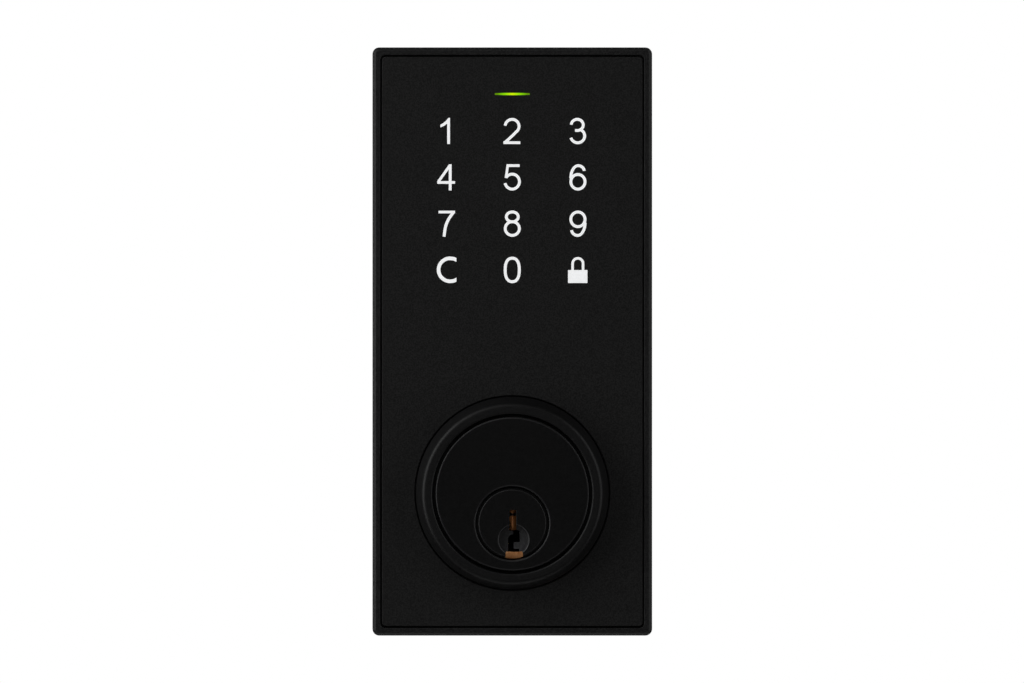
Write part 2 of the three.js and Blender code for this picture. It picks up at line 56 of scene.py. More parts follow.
# ==== Studio ====
# The lock is shown as it hangs on a door, square to the lens, before white paper. A tall soft
# box stands on each hand, one hangs above and one behind, and two small cards by the lens
# reach into the keyway. A pale round table lies well below.

MM = 0.001
EYE_DISTANCE, EYE_LEFT = 800 * MM, 0.06 * MM
LENS, FILM_WIDTH = 132.01, 36


def add(name, data):
    """A new object in the scene."""
    thing = bpy.data.objects.new(name, data)
    scene.collection.objects.link(thing)
    return thing


camera = add("camera", bpy.data.cameras.new("camera"))
camera.location = (-EYE_LEFT, -EYE_DISTANCE, 0)
camera.rotation_euler = (math.radians(90), 0, 0)
camera.data.lens = LENS
camera.data.sensor_width = FILM_WIDTH
camera.data.clip_start = 0.01
scene.camera = camera


def soft_box(name, place, aim, width, height, radiance):
    """A flat lamp turned to face a point, all in metres."""
    lamp = bpy.data.lights.new(name, "AREA")
    lamp.shape = "RECTANGLE"
    lamp.size = width
    lamp.size_y = height
    lamp.energy = radiance * math.pi * width * height
    box = add(name, lamp)
    box.location = place
    box.rotation_euler = (Vector(aim) - Vector(place)).to_track_quat("-Z", "Y").to_euler()


def link(value, socket):
    """Feeds a node's output to an input of another."""
    value.node.id_data.links.new(value, socket)


def beside(value, kind):
    """A new node in the tree that a value comes from."""
    return value.node.id_data.nodes.new("ShaderNode" + kind)


def spread(value, low, high, from_low=0.3, from_high=0.7, soft=False):
    """Stretches a value to a new range, and holds it at the ends."""
    node = beside(value, "MapRange")
    node.interpolation_type = "SMOOTHSTEP" if soft else "LINEAR"
    node.inputs["From Min"].default_value = from_low
    node.inputs["From Max"].default_value = from_high
    node.inputs["To Min"].default_value = low
    node.inputs["To Max"].default_value = high
    link(value, node.inputs["Value"])
    return node.outputs["Result"]


soft_box("left_box", (-0.62, -0.28, 0.14), (0, -0.02, 0), 0.46, 0.9, 4.05)
soft_box("right_box", (0.62, -0.26, 0.11), (0, -0.02, 0), 0.38, 0.92, 2.5)
soft_box("low_card", (-0.02, -0.62, -0.17), (0, -0.02, -0.02), 0.16, 0.1, 1.25)
soft_box("high_card", (-0.02, -0.62, 0.09), (0, -0.02, -0.02), 0.16, 0.1, 1.9)
soft_box("top_box", (-0.3, -0.38, 0.66), (0, -0.02, 0.02), 0.7, 0.35, 2)
soft_box("back_box", (0.25, 0.7, 0.45), (0, 0, 0), 0.8, 0.6, 1.6)

DARK_ROOM, WHITE_PAPER = 0.02, 0.8  # in front of the lock, and behind it
world = bpy.data.worlds.new("white_paper")
scene.world = world
world.use_nodes = True
sky = world.node_tree.nodes
background = sky["Background"]
ray = sky.new("ShaderNodeLightPath")
direction = sky.new("ShaderNodeTexCoord")
split = sky.new("ShaderNodeSeparateXYZ")
link(direction.outputs["Generated"], split.inputs[0])
paper = spread(split.outputs["Y"], DARK_ROOM, WHITE_PAPER, 0.15, 0.9, soft=True)
seen = sky.new("ShaderNodeMix")  # the lens sees plain white all round
seen.data_type = "FLOAT"
link(ray.outputs["Is Camera Ray"], seen.inputs["Factor"])
link(paper, seen.inputs["A"])
seen.inputs["B"].default_value = 1
link(seen.outputs["Result"], background.inputs["Strength"])
background.inputs["Color"].default_value = (1, 1, 1, 1)

TABLE_LEVEL, TABLE_RADIUS = -0.42, 0.42
FADE_START, FADE_END = TABLE_RADIUS * 0.45, TABLE_RADIUS * 0.98
table_mesh = bmesh.new()
bmesh.ops.create_circle(table_mesh, cap_ends=True, radius=TABLE_RADIUS, segments=96)
table_data = bpy.data.meshes.new("table")
table_mesh.to_mesh(table_data)
table = add("table", table_data)
table.location = (0, 0, TABLE_LEVEL)
white = bpy.data.materials.new("table_white")
white.use_nodes = True
nodes = white.node_tree.nodes
paint = nodes["Principled BSDF"]
paint.inputs["Base Color"].default_value = (0.86, 0.86, 0.85, 1)
paint.inputs["Roughness"].default_value = 0.9
paint.inputs["Specular IOR Level"].default_value = 0.1
reach = nodes.new("ShaderNodeVectorMath")  # the table fades out before its edge
reach.operation = "LENGTH"
place = nodes.new("ShaderNodeTexCoord")
link(place.outputs["Object"], reach.inputs[0])
fade = spread(reach.outputs["Value"], 0, 1, FADE_START, FADE_END, soft=True)
clear = nodes.new("ShaderNodeBsdfTransparent")
blend = nodes.new("ShaderNodeMixShader")
link(fade, blend.inputs["Fac"])
link(paint.outputs["BSDF"], blend.inputs[1])
link(clear.outputs["BSDF"], blend.inputs[2])
link(blend.outputs["Shader"], nodes["Material Output"].inputs["Surface"])
table_data.materials.append(white)

# ==== Housing ====
# Die-cast zinc box, open at the back, with a shallow tray in front for the keypad panel.
# It is powder coated black: a fine, dry, very slightly pebbled skin over rounded edges.


def corners_of(node):
    """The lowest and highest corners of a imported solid, in millimetres."""
    return tuple(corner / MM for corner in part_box(node))


def middle_of(node):
    """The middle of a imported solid, in X and Z."""
    low, high = corners_of(node)
    return (low.x + high.x) / 2, (low.z + high.z) / 2


def rounded_loop(width, height, radius, corner_points=9):
    """Points round a rectangle with rounded corners, in X and Z, from its right side on."""
    loop = []
    for quarter, (sx, sz) in enumerate([(1, 1), (-1, 1), (-1, -1), (1, -1)]):
        cx, cz = sx * (width / 2 - radius), sz * (height / 2 - radius)
        for step in range(corner_points):
            angle = (quarter + step / (corner_points - 1)) * math.pi / 2
            loop.append((cx + radius * math.cos(angle), cz + radius * math.sin(angle)))
    return loop


def circle_loop(radius, points, x=0, z=0):
    """Points round a circle, in X and Z."""
    turns = [2 * math.pi * i / points for i in range(points)]
    return [(x + radius * math.cos(t), z + radius * math.sin(t)) for t in turns]


def put(name, mesh):
    """A bmesh drawn in millimetres becomes a named object in the frame."""
    bmesh.ops.recalc_face_normals(mesh, faces=mesh.faces[:])
    data = bpy.data.meshes.new(name)
    mesh.to_mesh(data)
    mesh.free()
    data.transform(Matrix.Scale(MM, 4))
    return add(name, data)


def loft(name, loops):
    """A closed skin through loops of one length, each given as (points in X and Z, y)."""
    mesh = bmesh.new()
    rings = [[mesh.verts.new((x, y, z)) for x, z in points] for points, y in loops]
    for low, high in zip(rings, rings[1:]):
        for i in range(len(low)):
            j = (i + 1) % len(low)
            mesh.faces.new((low[i], low[j], high[j], high[i]))
    mesh.faces.new(rings[0])
    mesh.faces.new(rings[-1])
    return put(name, mesh)


def evaluated_mesh(piece):
    """A piece's mesh with its modifiers applied, or a curve's as a mesh."""
    bpy.context.view_layer.update()
    return bpy.data.meshes.new_from_object(piece.evaluated_get(bpy.context.evaluated_depsgraph_get()))


NEARLY_FLAT = math.radians(0.05)
SPECK = 1e-7


def shape(piece, operation, *tools):
    """Joins tools to a piece or cuts them from it, then throws the tools away. Flat faces that
    were split come together again, and any crack that a cut left is closed."""
    for tool in tools:
        step = piece.modifiers.new("step", "BOOLEAN")
        step.operation = operation
        step.solver = "EXACT"
        step.object = tool
    shaped = evaluated_mesh(piece)
    piece.modifiers.clear()
    piece.data = shaped
    for tool in tools:
        bpy.data.objects.remove(tool)
    mesh = bmesh.new()
    mesh.from_mesh(piece.data)
    bmesh.ops.dissolve_limit(mesh, angle_limit=NEARLY_FLAT, verts=mesh.verts[:], edges=mesh.edges[:])
    bmesh.ops.dissolve_degenerate(mesh, dist=SPECK, edges=mesh.edges[:])
    cracks = [edge for edge in mesh.edges if edge.is_boundary]
    if cracks:
        bmesh.ops.holes_fill(mesh, edges=cracks, sides=0)
        bmesh.ops.recalc_face_normals(mesh, faces=mesh.faces[:])
    mesh.to_mesh(piece.data)
    mesh.free()
    return piece


def arc(r, y, radius, start, end, steps=6):
    """Points of a fillet in a turned profile: angle 0 points outwards, 90 into the door."""
    angles = [math.radians(start + (end - start) * i / steps) for i in range(steps + 1)]
    return [(r + radius * math.cos(a), y + radius * math.sin(a)) for a in angles]


def turn(name, profile, x, z, segments):
    """A turned piece about an axis along Y, from (radius, y) pairs that start and end on the
    axis, or that run round a closed ring."""
    mesh = bmesh.new()
    rings = []
    for r, y in profile:
        if r == 0:
            rings.append([mesh.verts.new((x, y, z))])
        else:
            rings.append([mesh.verts.new((px, y, pz)) for px, pz in circle_loop(r, segments, x, z)])
    pairs = list(zip(rings, rings[1:]))
    if profile[0][0] > 0:
        pairs.append((rings[-1], rings[0]))
    for low, high in pairs:
        for i in range(segments):
            j = (i + 1) % segments
            corners = [low[i % len(low)], low[j % len(low)], high[j % len(high)], high[i % len(high)]]
            face = list(dict.fromkeys(corners))
            if len(face) > 2:
                mesh.faces.new(face)
    return put(name, mesh)


def rod(radius, y0, y1, x, z, segments):
    """A rod along Y, as a tool."""
    return turn("tool", [(0, y0), (radius, y0), (radius, y1), (0, y1)], x, z, segments)


def block(x0, y0, z0, x1, y1, z1):
    """A square-edged block, as a tool."""
    loop = [(x0, z0), (x1, z0), (x1, z1), (x0, z1)]
    return loft("tool", [(loop, y0), (loop, y1)])


def even_shading(piece, sharp=30):
    """Soft shading over fillets, crisp at true edges, and dead flat over flat faces."""
    data = piece.data
    data.polygons.foreach_set("use_smooth", [True] * len(data.polygons))
    data.set_sharp_from_angle(angle=math.radians(sharp))
    weight = piece.modifiers.new("even", "WEIGHTED_NORMAL")
    weight.keep_sharp = True
    weight.weight = 100


def new_finish(name):
    """An empty finish: its material and shader, and the place of each point on the lock."""
    finish = bpy.data.materials.new(name)
    finish.use_nodes = True
    nodes = finish.node_tree.nodes
    spot = nodes.new("ShaderNodeTexCoord").outputs["Object"]
    return finish, nodes["Principled BSDF"], spot


def noise(spot, size_mm, detail=2, roughness=0.5):
    """Noise whose blotches are about size_mm across."""
    node = beside(spot, "TexNoise")
    node.inputs["Scale"].default_value = 1 / (size_mm * MM)
    node.inputs["Detail"].default_value = detail
    node.inputs["Roughness"].default_value = roughness
    link(spot, node.inputs["Vector"])
    return node.outputs["Fac"]


def two_tone(factor, first, second):
    """Mixes two colours, each written down or made by other nodes."""
    node = beside(factor, "Mix")
    node.data_type = "RGBA"
    link(factor, node.inputs[0])
    for socket, colour in ((node.inputs[6], first), (node.inputs[7], second)):
        if isinstance(colour, tuple):
            socket.default_value = (*colour, 1)
        else:
            link(colour, socket)
    return node.outputs[2]


def relief(shader, height, depth_mm, strength=1, under=None):
    """Fine relief on the surface, on top of another if one is given."""
    node = beside(height, "Bump")
    node.inputs["Distance"].default_value = depth_mm * MM
    node.inputs["Strength"].default_value = strength
    link(height, node.inputs["Height"])
    if under is not None:
        link(under, node.inputs["Normal"])
    link(node.outputs["Normal"], shader.inputs["Normal"])
    return node.outputs["Normal"]


def coat_finish(name, dark, light, grain_mm, bump_mm, rough_low, rough_high, shine=0.4):
    """A dry sprayed or moulded skin: fine grain in colour and relief, gloss drifting slowly."""
    finish, shader, spot = new_finish(name)
    shader.inputs["Specular IOR Level"].default_value = shine
    grain = noise(spot, grain_mm, 3, 0.6)
    colour = two_tone(spread(grain, 0, 1, 0.42, 0.58), dark, light)
    link(colour, shader.inputs["Base Color"])
    drift = noise(spot, grain_mm * 30)
    link(spread(drift, rough_low, rough_high), shader.inputs["Roughness"])
    relief(shader, grain, bump_mm)
    return finish


def dress(piece, finish, body=None, stands_for=()):
    """Gives a piece its finish and its place: what it rides on and which solids it stands for."""
    piece.data.materials.clear()
    piece.data.materials.append(finish)
    if body:
        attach(piece, body)
    if stands_for:
        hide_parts(*stands_for)


powder_coat = coat_finish(
    "powder_coat", (0.0009, 0.0009, 0.001), (0.0086, 0.0086, 0.0087),
    grain_mm=0.3, bump_mm=0.03, rough_low=0.49, rough_high=0.53, shine=0.2,
)

low, high = corners_of("front_housing")
WIDTH, HEIGHT = high.x - low.x, high.z - low.z
FRONT, REAR = low.y, high.y
CORNER, EDGE, SOFT, RIM = 1.4, 0.68, 0.35, 1.63
TRAY_CORNER, LIP = 1.1, 0.12
WALL, CAVITY_CORNER = 1.8, 1
FLOOR_FRONT, FLOOR_BACK = -19.8, -17.8
BREAK = 0.15  # the sharp edges at the back are just broken
SLOPE_END = 0.414  # where a round meets a 45 degree slope, as a share of its radius
PAST = 1  # how far a tool reaches past what it cuts


def housing_loop(inset, radius):
    """The housing's outline, drawn in by an inset."""
    return rounded_loop(WIDTH - 2 * inset, HEIGHT - 2 * inset, radius)


def steps_between(start, end):
    """The sines and cosines of five evenly spaced angles, given in degrees."""
    angles = [math.radians(start + (end - start) * i / 4) for i in range(5)]
    return [(math.sin(a), math.cos(a)) for a in angles]


skin = [(housing_loop(BREAK, CORNER - BREAK), REAR), (housing_loop(0, CORNER), REAR - BREAK)]
for sine, cosine in steps_between(0, 45):  # a slope between two small rounds
    inset = SOFT * (1 - cosine)
    skin.append((housing_loop(inset, CORNER - inset), FRONT + EDGE + SOFT * (SLOPE_END - sine)))
for sine, cosine in steps_between(45, 90):
    inset = EDGE + SOFT * (SLOPE_END - cosine)
    skin.append((housing_loop(inset, CORNER - inset), FRONT + SOFT * (1 - sine)))
for sine, cosine in steps_between(0, 90):
    rise = LIP * (1 - sine)
    skin.append((housing_loop(RIM - rise, TRAY_CORNER + rise), FRONT + LIP * (1 - cosine)))
skin.append((housing_loop(RIM, TRAY_CORNER), FLOOR_FRONT))
housing = loft("housing_shell", skin)
cavity = rounded_loop(WIDTH - 2 * WALL, HEIGHT - 2 * WALL, CAVITY_CORNER)
shape(housing, "DIFFERENCE", loft("tool", [(cavity, FLOOR_BACK), (cavity, REAR + PAST)]))

PLATE_FRONT, BOARD_FRONT = -3, -12
PLATE_BOSS_R, PLATE_HOLE_R, PLATE_HOLE_END = 2.8, 1.6, -12.3
BOARD_BOSS_R, BOARD_HOLE_R, BOARD_HOLE_END = 2, 1.15, -16.7
plate_screws = [(sx * 22.8, sz * 55.4) for sx in (-1, 1) for sz in (-1, 1)]
board_screws = [(sx * 20.4, z) for sx in (-1, 1) for z in (6.2, 49)]
shape(
    housing, "UNION",
    *[rod(PLATE_BOSS_R, FLOOR_BACK - PAST, PLATE_FRONT, x, z, 40) for x, z in plate_screws],
    *[rod(BOARD_BOSS_R, FLOOR_BACK - PAST, BOARD_FRONT, x, z, 40) for x, z in board_screws],
)

CYLINDER_Z = middle_of("cylinder_collar")[1]
CYLINDER_HOLE_R, SLIP = 15.3, 0.3


def window_for(node):
    """The tool for an opening in the tray's floor with a little room round a piece."""
    low, high = corners_of(node)
    return block(low.x - SLIP, FRONT, low.z - SLIP, high.x + SLIP, 0, high.z + SLIP)


shape(
    housing, "DIFFERENCE",
    rod(CYLINDER_HOLE_R, FRONT, 0, 0, CYLINDER_Z, 128),
    window_for("light_mask"),
    window_for("status_light_pipe"),
    *[rod(PLATE_HOLE_R, PLATE_HOLE_END, 0, x, z, 24) for x, z in plate_screws],
    *[rod(BOARD_HOLE_R, BOARD_HOLE_END, 0, x, z, 24) for x, z in board_screws],
)
even_shading(housing)
dress(housing, powder_coat, "unit", ["front_housing"])

# ==== Keypad panel ====
# A flat plate of black moulded plastic stuck into the tray with a die-cut foam sheet, its
# face a hair below the rim and its outline a fine dark groove inside it.

low, high = corners_of("keypad_panel")
PANEL_WIDTH, PANEL_HEIGHT = high.x - low.x, high.z - low.z
PANEL_FRONT, PANEL_BACK = -21.9, -20.1
PANEL_CORNER, PANEL_EDGE, COLLAR_HOLE = 0.7, 0.12, 20.2


def panel_loop(inset):
    """The panel's outline, drawn in by an inset."""
    return rounded_loop(PANEL_WIDTH - 2 * inset, PANEL_HEIGHT - 2 * inset, PANEL_CORNER - inset)


skin = [(panel_loop(0), PANEL_BACK)]
for sine, cosine in steps_between(0, 90):
    skin.append((panel_loop(PANEL_EDGE * (1 - cosine)), PANEL_FRONT + PANEL_EDGE * (1 - sine)))
panel = loft("panel_plate", skin)
hole = [(0, PANEL_FRONT - PAST), (COLLAR_HOLE + PANEL_EDGE + PAST, PANEL_FRONT - PAST)]
hole += [(COLLAR_HOLE + PANEL_EDGE, PANEL_FRONT), (COLLAR_HOLE, PANEL_FRONT + PANEL_EDGE)]
hole += [(COLLAR_HOLE, PANEL_BACK + PAST), (0, PANEL_BACK + PAST)]
shape(panel, "DIFFERENCE", turn("tool", hole, 0, CYLINDER_Z, 160))

panel_black = coat_finish(
    "panel_black", (0.0009, 0.0009, 0.0009), (0.0086, 0.0086, 0.0086),
    grain_mm=0.28, bump_mm=0.024, rough_low=0.51, rough_high=0.55, shine=0.2,
)


def keep(node, finish, edge_mm=0):
    """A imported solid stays, with its corners welded, its edges broken and an even shading."""
    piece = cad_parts[node]
    weld = piece.modifiers.new("weld", "WELD")
    weld.merge_threshold = 10 * SPECK
    flat = piece.modifiers.new("flat", "DECIMATE")
    flat.decimate_type = "DISSOLVE"
    flat.angle_limit = math.radians(0.5)
    if edge_mm:
        edge = piece.modifiers.new("edge", "BEVEL")
        edge.width = edge_mm * MM
        edge.segments = 2
        edge.limit_method = "ANGLE"
        edge.angle_limit = math.radians(35)
    piece.data.polygons.foreach_set("use_smooth", [True] * len(piece.data.polygons))
    weight = piece.modifiers.new("even", "WEIGHTED_NORMAL")
    weight.weight = 100
    dress(piece, finish)


foam = coat_finish(
    "foam_sheet", (0.01, 0.01, 0.01), (0.03, 0.03, 0.03),
    grain_mm=0.25, bump_mm=0.05, rough_low=0.85, rough_high=0.95,
)
keep("panel_seal", foam)

# ==== Key legends ====
# Ten numbers, a C for clear and a padlock, as milky windows let into the panel's face. Each
# is lit from behind by its own small lamp, which sits in a well of a white moulded mask.

STROKE = 0.585  # the usual width of a line
MITRE_LIMIT = 0.5
JOIN_WITHIN = 1e-4


class Legend:
    """The outline of one legend, gathered from overlapping strokes and plates, in millimetres
    from its own middle."""

    def __init__(self):
        self.plates = []

    def plate(self, *points):
        """Adds a flat area, its corners given either way round."""
        area = sum(a[0] * b[1] - b[0] * a[1] for a, b in zip(points, points[1:] + points[:1]))
        self.plates.append(list(points) if area > 0 else list(points)[::-1])
        return self

    def bar(self, x0, z0, x1, z1):
        """Adds a rectangle."""
        return self.plate((x0, z0), (x1, z0), (x1, z1), (x0, z1))

    def stroke(self, line, width=STROKE, loop=False, upright_ends=False):
        """Adds a line of one width through the points, open or as a loop."""
        line = np.array(line, float)
        last = len(line) - 1
        sides = []
        for i in range(len(line)):
            ahead = line[(i + 1) % len(line)] if loop else line[min(i + 1, last)]
            behind = line[i - 1] if (loop or i) else line[0]
            way = (ahead - behind) / np.linalg.norm(ahead - behind)
            side = np.array([-way[1], way[0]])
            if 0 < i < last or loop:  # a mitre keeps the width at a bend
                first = (line[i] - behind) / np.linalg.norm(line[i] - behind)
                side = side / max(np.dot(side, [-first[1], first[0]]), MITRE_LIMIT)
            elif upright_ends:  # cut off along Z
                side = np.array([0, np.sign(side[1])]) / abs(side[1])
            sides.append((line[i] + side * width / 2, line[i] - side * width / 2))
        for i in range(len(sides) if loop else last):
            (a, b), (c, d) = sides[i], sides[(i + 1) % len(sides)]
            self.plate(tuple(b), tuple(d), tuple(c), tuple(a))
        return self

    def turned(self):
        """The same legend upside down."""
        other = Legend()
        heights = [z for plate in self.plates for _, z in plate]
        other.plates = [[(-x, min(heights) + max(heights) - z) for x, z in plate] for plate in self.plates]
        return other

    def solid(self, name, x, z, y0, y1):
        """The plates and strokes joined to one outline, and given their depth."""
        corners, rings = [], []
        for plate in self.plates:
            rings.append(list(range(len(corners), len(corners) + len(plate))))
            corners += [Vector(point) for point in plate]
        points, _, faces, _, _, sources = delaunay_2d_cdt(corners, [], rings, 0, JOIN_WITHIN)
        faces = [face for face, source in zip(faces, sources) if source]
        mesh = bmesh.new()
        front = [mesh.verts.new((x + p[0], y0, z + p[1])) for p in points]
        back = [mesh.verts.new((x + p[0], y1, z + p[1])) for p in points]
        count = {}
        for face in faces:
            mesh.faces.new([front[i] for i in face])
            mesh.faces.new([back[i] for i in reversed(face)])
            for a, b in zip(face, list(face[1:]) + [face[0]]):
                count[frozenset((a, b))] = count.get(frozenset((a, b)), 0) + 1
        for edge, times in count.items():
            if times == 1:
                a, b = edge
                mesh.faces.new((front[a], front[b], back[b], back[a]))
        bmesh.ops.delete(mesh, geom=[v for v in mesh.verts if not v.link_faces], context="VERTS")
        return put(name, mesh)


def bow(cx, cz, rx, rz, start, end, power=2):
    """Points along part of an oval, by angle in degrees; a higher power squares it off."""
    steps = max(4, round(abs(end - start) / 8))
    line = []
    for i in range(steps + 1):
        a = math.radians(start + (end - start) * i / steps)
        c, s = math.cos(a), math.sin(a)
        line.append((
            cx + rx * math.copysign(abs(c) ** (2 / power), c),
            cz + rz * math.copysign(abs(s) ** (2 / power), s),
        ))
    return line


def smooth(points, steps=8):
    """A smooth line through the points."""
    p = [np.array(point, float) for point in points]
    p = [2 * p[0] - p[1]] + p + [2 * p[-1] - p[-2]]
    line = []
    for a, b, c, d in zip(p, p[1:], p[2:], p[3:]):
        for i in range(steps):
            t = i / steps
            line.append(tuple(0.5 * (2 * b + (c - a) * t + (2 * a - 5 * b + 4 * c - d) * t * t
                                     + (3 * b - a - 3 * c + d) * t ** 3)))
    return line + [tuple(p[-2])]


six = (
    Legend()
    .stroke(bow(0, -1, 1.47, 1.52, 0, 352), loop=True)
    .stroke(bow(0.04, -0.3, 1.52, 2.64, 180, 96) + bow(0.04, 1.15, 1.28, 1.19, 90, 5))
)
legends = {
    "1": Legend().plate((0.11, -2.77), (0.69, -2.77), (0.69, 2.64), (0.36, 2.64), (-0.1, 2.06),
                        (-0.62, 1.6), (-1.3, 1.22), (-1.3, 0.66), (-0.58, 0.96), (0.11, 1.44)),
    "2": Legend()
    .stroke(bow(-0.04, 0.9, 1.44, 1.43, 175, -38)
            + smooth([(1.02, 0), (0.24, -0.84), (-1.5, -2.46)])[4:])
    .bar(-1.84, -2.78, 1.66, -2.22),
    "3": Legend()
    .stroke(bow(-0.14, 1.18, 1.24, 1.16, 178, -90))
    .bar(-0.6, -0.26, -0.12, 0.32)
    .stroke(bow(-0.05, -1.11, 1.45, 1.41, 75, -165)),
    "4": Legend()
    .bar(0.44, -2.79, 1.02, 2.62)
    .bar(-1.94, -1.42, 1.74, -0.86)
    .plate((0.5, 2.62), (-1.94, -0.84), (-1.94, -1.42), (-1.7, -1.42), (0.44, 1.58), (1.02, 2.62)),
    "5": Legend()
    .bar(-1.18, 2.07, 1.52, 2.63)
    .stroke([(-0.9, 2.63), (-1.32, -0.22)], 0.52)
    .stroke(bow(-0.02, -0.97, 1.5, 1.55, 148, -168)),
    "6": six,
    "7": Legend()
    .bar(-1.68, 2.06, 1.74, 2.6)
    .stroke(smooth([(1.47, 2.35), (0.44, 0.9), (-0.22, -0.65), (-0.55, -2.77)]), 0.6),
    "8": Legend()
    .stroke(bow(0, 1.33, 1.24, 1.02, 0, 352), loop=True)
    .stroke(bow(0, -1.09, 1.46, 1.42, 0, 352), loop=True),
    "9": six.turned(),
    "clear": Legend().stroke(
        smooth([(2.02, 2), (1.45, 2.25), (0.72, 2.34)], 4)[:-1] + bow(0.72, -0.04, 2.4, 2.38, 90, 270)
        + smooth([(0.72, -2.42), (1.45, -2.33), (2.02, -2.08)], 4)[1:], 0.74, upright_ends=True),
    "0": Legend().stroke(bow(-0.01, -0.07, 1.46, 2.43, 0, 352, 2.4), 0.6, loop=True),
    "padlock": Legend()
    .bar(-2.05, -2.78, 1.97, -0.1)
    .stroke([(-1.1, -0.3), (-1.1, 1.28)] + bow(-0.02, 1.28, 1.08, 1.06, 172, 8)
            + [(1.06, 1.28), (1.06, -0.3)], 0.52),
}
WINDOW_DEEP, PROUD = 0.4, 0.012
milky, shader, spot = new_finish("milky_window")
haze = noise(spot, 0.8)
milk = two_tone(spread(haze, 0, 1), (0.68, 0.68, 0.67), (0.75, 0.75, 0.75))
link(milk, shader.inputs["Base Color"])
shader.inputs["Emission Color"].default_value = (0.95, 0.97, 1, 1)
shader.inputs["Emission Strength"].default_value = 0.395
shader.inputs["Roughness"].default_value = 0.45
pockets = []
for i, (name, legend) in enumerate(legends.items(), 1):
    x, z = middle_of(f"key_light_{i}")
    pockets.append(legend.solid("tool", x, z, PANEL_FRONT - PAST, PANEL_FRONT + WINDOW_DEEP))
    window = legend.solid(f"legend_{name}", x, z, PANEL_FRONT - PROUD, PANEL_FRONT + WINDOW_DEEP)
    dress(window, milky, "unit")
shape(panel, "DIFFERENCE", *pockets)

lamp_chip, shader, spot = new_finish("lamp_chip")
glow = noise(spot, 0.5)
link(two_tone(glow, (0.85, 0.78, 0.45), (0.95, 0.9, 0.62)), shader.inputs["Base Color"])
shader.inputs["Emission Color"].default_value = (1, 0.97, 0.9, 1)
shader.inputs["Emission Strength"].default_value = 0.8
shader.inputs["Roughness"].default_value = 0.3
for i in range(1, len(legends) + 1):
    keep(f"key_light_{i}", lamp_chip, 0.08)
white_mask = coat_finish(
    "white_mask", (0.7, 0.7, 0.68), (0.78, 0.78, 0.76),
    grain_mm=0.6, bump_mm=0.01, rough_low=0.5, rough_high=0.62,
)
keep("light_mask", white_mask, 0.1)

# ==== Status light ====
# A clear pipe carries the light of one small lamp to a thin lens-shaped slit in the panel,
# where it shows as a yellow-green dash, brightest in the middle.

STATUS_Z = middle_of("status_light_pipe")[1] - 0.04  # the slit lies a hair low
SLIT_WIDTH, SLIT_MIDDLE, SLIT_END, SLIT_GAP = 7.15, 0.41, 0.28, 0.06
STEM_HALF_WIDTH, STEM_HALF_HEIGHT, STEM_LAP = 3.8, 0.9, 0.15
STEM_BACK = corners_of("status_light_pipe")[1].y


def slit_loop(gap):
    """A slim pointed oval with both ends cut blunt."""
    line = []
    for i in range(25):
        along = 1 - i / 12
        rise = SLIT_END / 2 + (SLIT_MIDDLE - SLIT_END) / 2 * (1 - along ** 2) + gap
        line.append((along * (SLIT_WIDTH / 2 + gap), rise))
    return [(x, z + STATUS_Z) for x, z in line] + [(-x, -z + STATUS_Z) for x, z in line]


slit = slit_loop(SLIT_GAP)
shape(panel, "DIFFERENCE", loft("tool", [(slit, PANEL_FRONT - PAST), (slit, PANEL_BACK + PAST)]))
even_shading(panel)
dress(panel, panel_black, "unit", ["keypad_panel"])

pipe = loft("light_pipe", [(slit_loop(0), PANEL_FRONT), (slit_loop(0), PANEL_BACK + STEM_LAP)])
shape(pipe, "UNION", block(-STEM_HALF_WIDTH, PANEL_BACK, STATUS_Z - STEM_HALF_HEIGHT,
                           STEM_HALF_WIDTH, STEM_BACK, STATUS_Z + STEM_HALF_HEIGHT))
green, shader, spot = new_finish("green_glow")
axes = beside(spot, "SeparateXYZ")
link(spot, axes.inputs[0])
away = beside(spot, "Math")
away.operation = "ABSOLUTE"
link(axes.outputs["X"], away.inputs[0])
glow = beside(spot, "ValToRGB")
link(spread(away.outputs[0], 0, 1, 0, SLIT_WIDTH / 2 * MM), glow.inputs["Fac"])
tones = [
    (0, (0.62, 0.84, 0)), (0.34, (0.32, 0.74, 0)),
    (0.64, (0.18, 0.5, 0)), (0.87, (0.11, 0.25, 0)),
]
while len(glow.color_ramp.elements) < len(tones):
    glow.color_ramp.elements.new(0.5)
for stop, (place, tone) in zip(glow.color_ramp.elements, tones):
    stop.position = place
    stop.color = (*tone, 1)
link(glow.outputs["Color"], shader.inputs["Emission Color"])
resin = two_tone(noise(spot, 0.4), (0.004, 0.02, 0), (0.008, 0.03, 0))
link(resin, shader.inputs["Base Color"])
shader.inputs["Emission Strength"].default_value = 1
shader.inputs["Roughness"].default_value = 0.4
shader.inputs["Specular IOR Level"].default_value = 0.1
even_shading(pipe)
dress(pipe, green, "unit", ["status_light_pipe"])
keep("status_light", lamp_chip, 0.08)

# ==== Circuit boards ====
# The touch board lies behind the tray, and the main board is held off it by a moulded frame.
# Both are green glass fibre with their copper tracks showing through; four screws hold the
# stack to posts in the housing.

board_green, shader, spot = new_finish("board_green")
mottle = noise(spot, 1.2)
mask_colour = two_tone(mottle, (0.008, 0.06, 0.022), (0.014, 0.085, 0.032))
tracks = beside(spot, "TexBrick")
tracks.inputs["Scale"].default_value = 1 / (2.4 * MM)
tracks.inputs["Mortar Size"].default_value = 0.06
for socket, level in (("Color1", 0), ("Color2", 0), ("Mortar", 1)):
    tracks.inputs[socket].default_value = (level, level, level, 1)
tilt = beside(spot, "Mapping")
tilt.inputs["Rotation"].default_value = (math.radians(90), 0, 0)
link(spot, tilt.inputs["Vector"])
link(tilt.outputs["Vector"], tracks.inputs["Vector"])
lacquer = two_tone(tracks.outputs["Color"], mask_colour, (0.03, 0.14, 0.05))
link(lacquer, shader.inputs["Base Color"])
relief(shader, tracks.outputs["Fac"], 0.03, 0.6)
shader.inputs["Roughness"].default_value = 0.35
keep("touch_board", board_green, 0.05)
keep("main_board", board_green, 0.05)
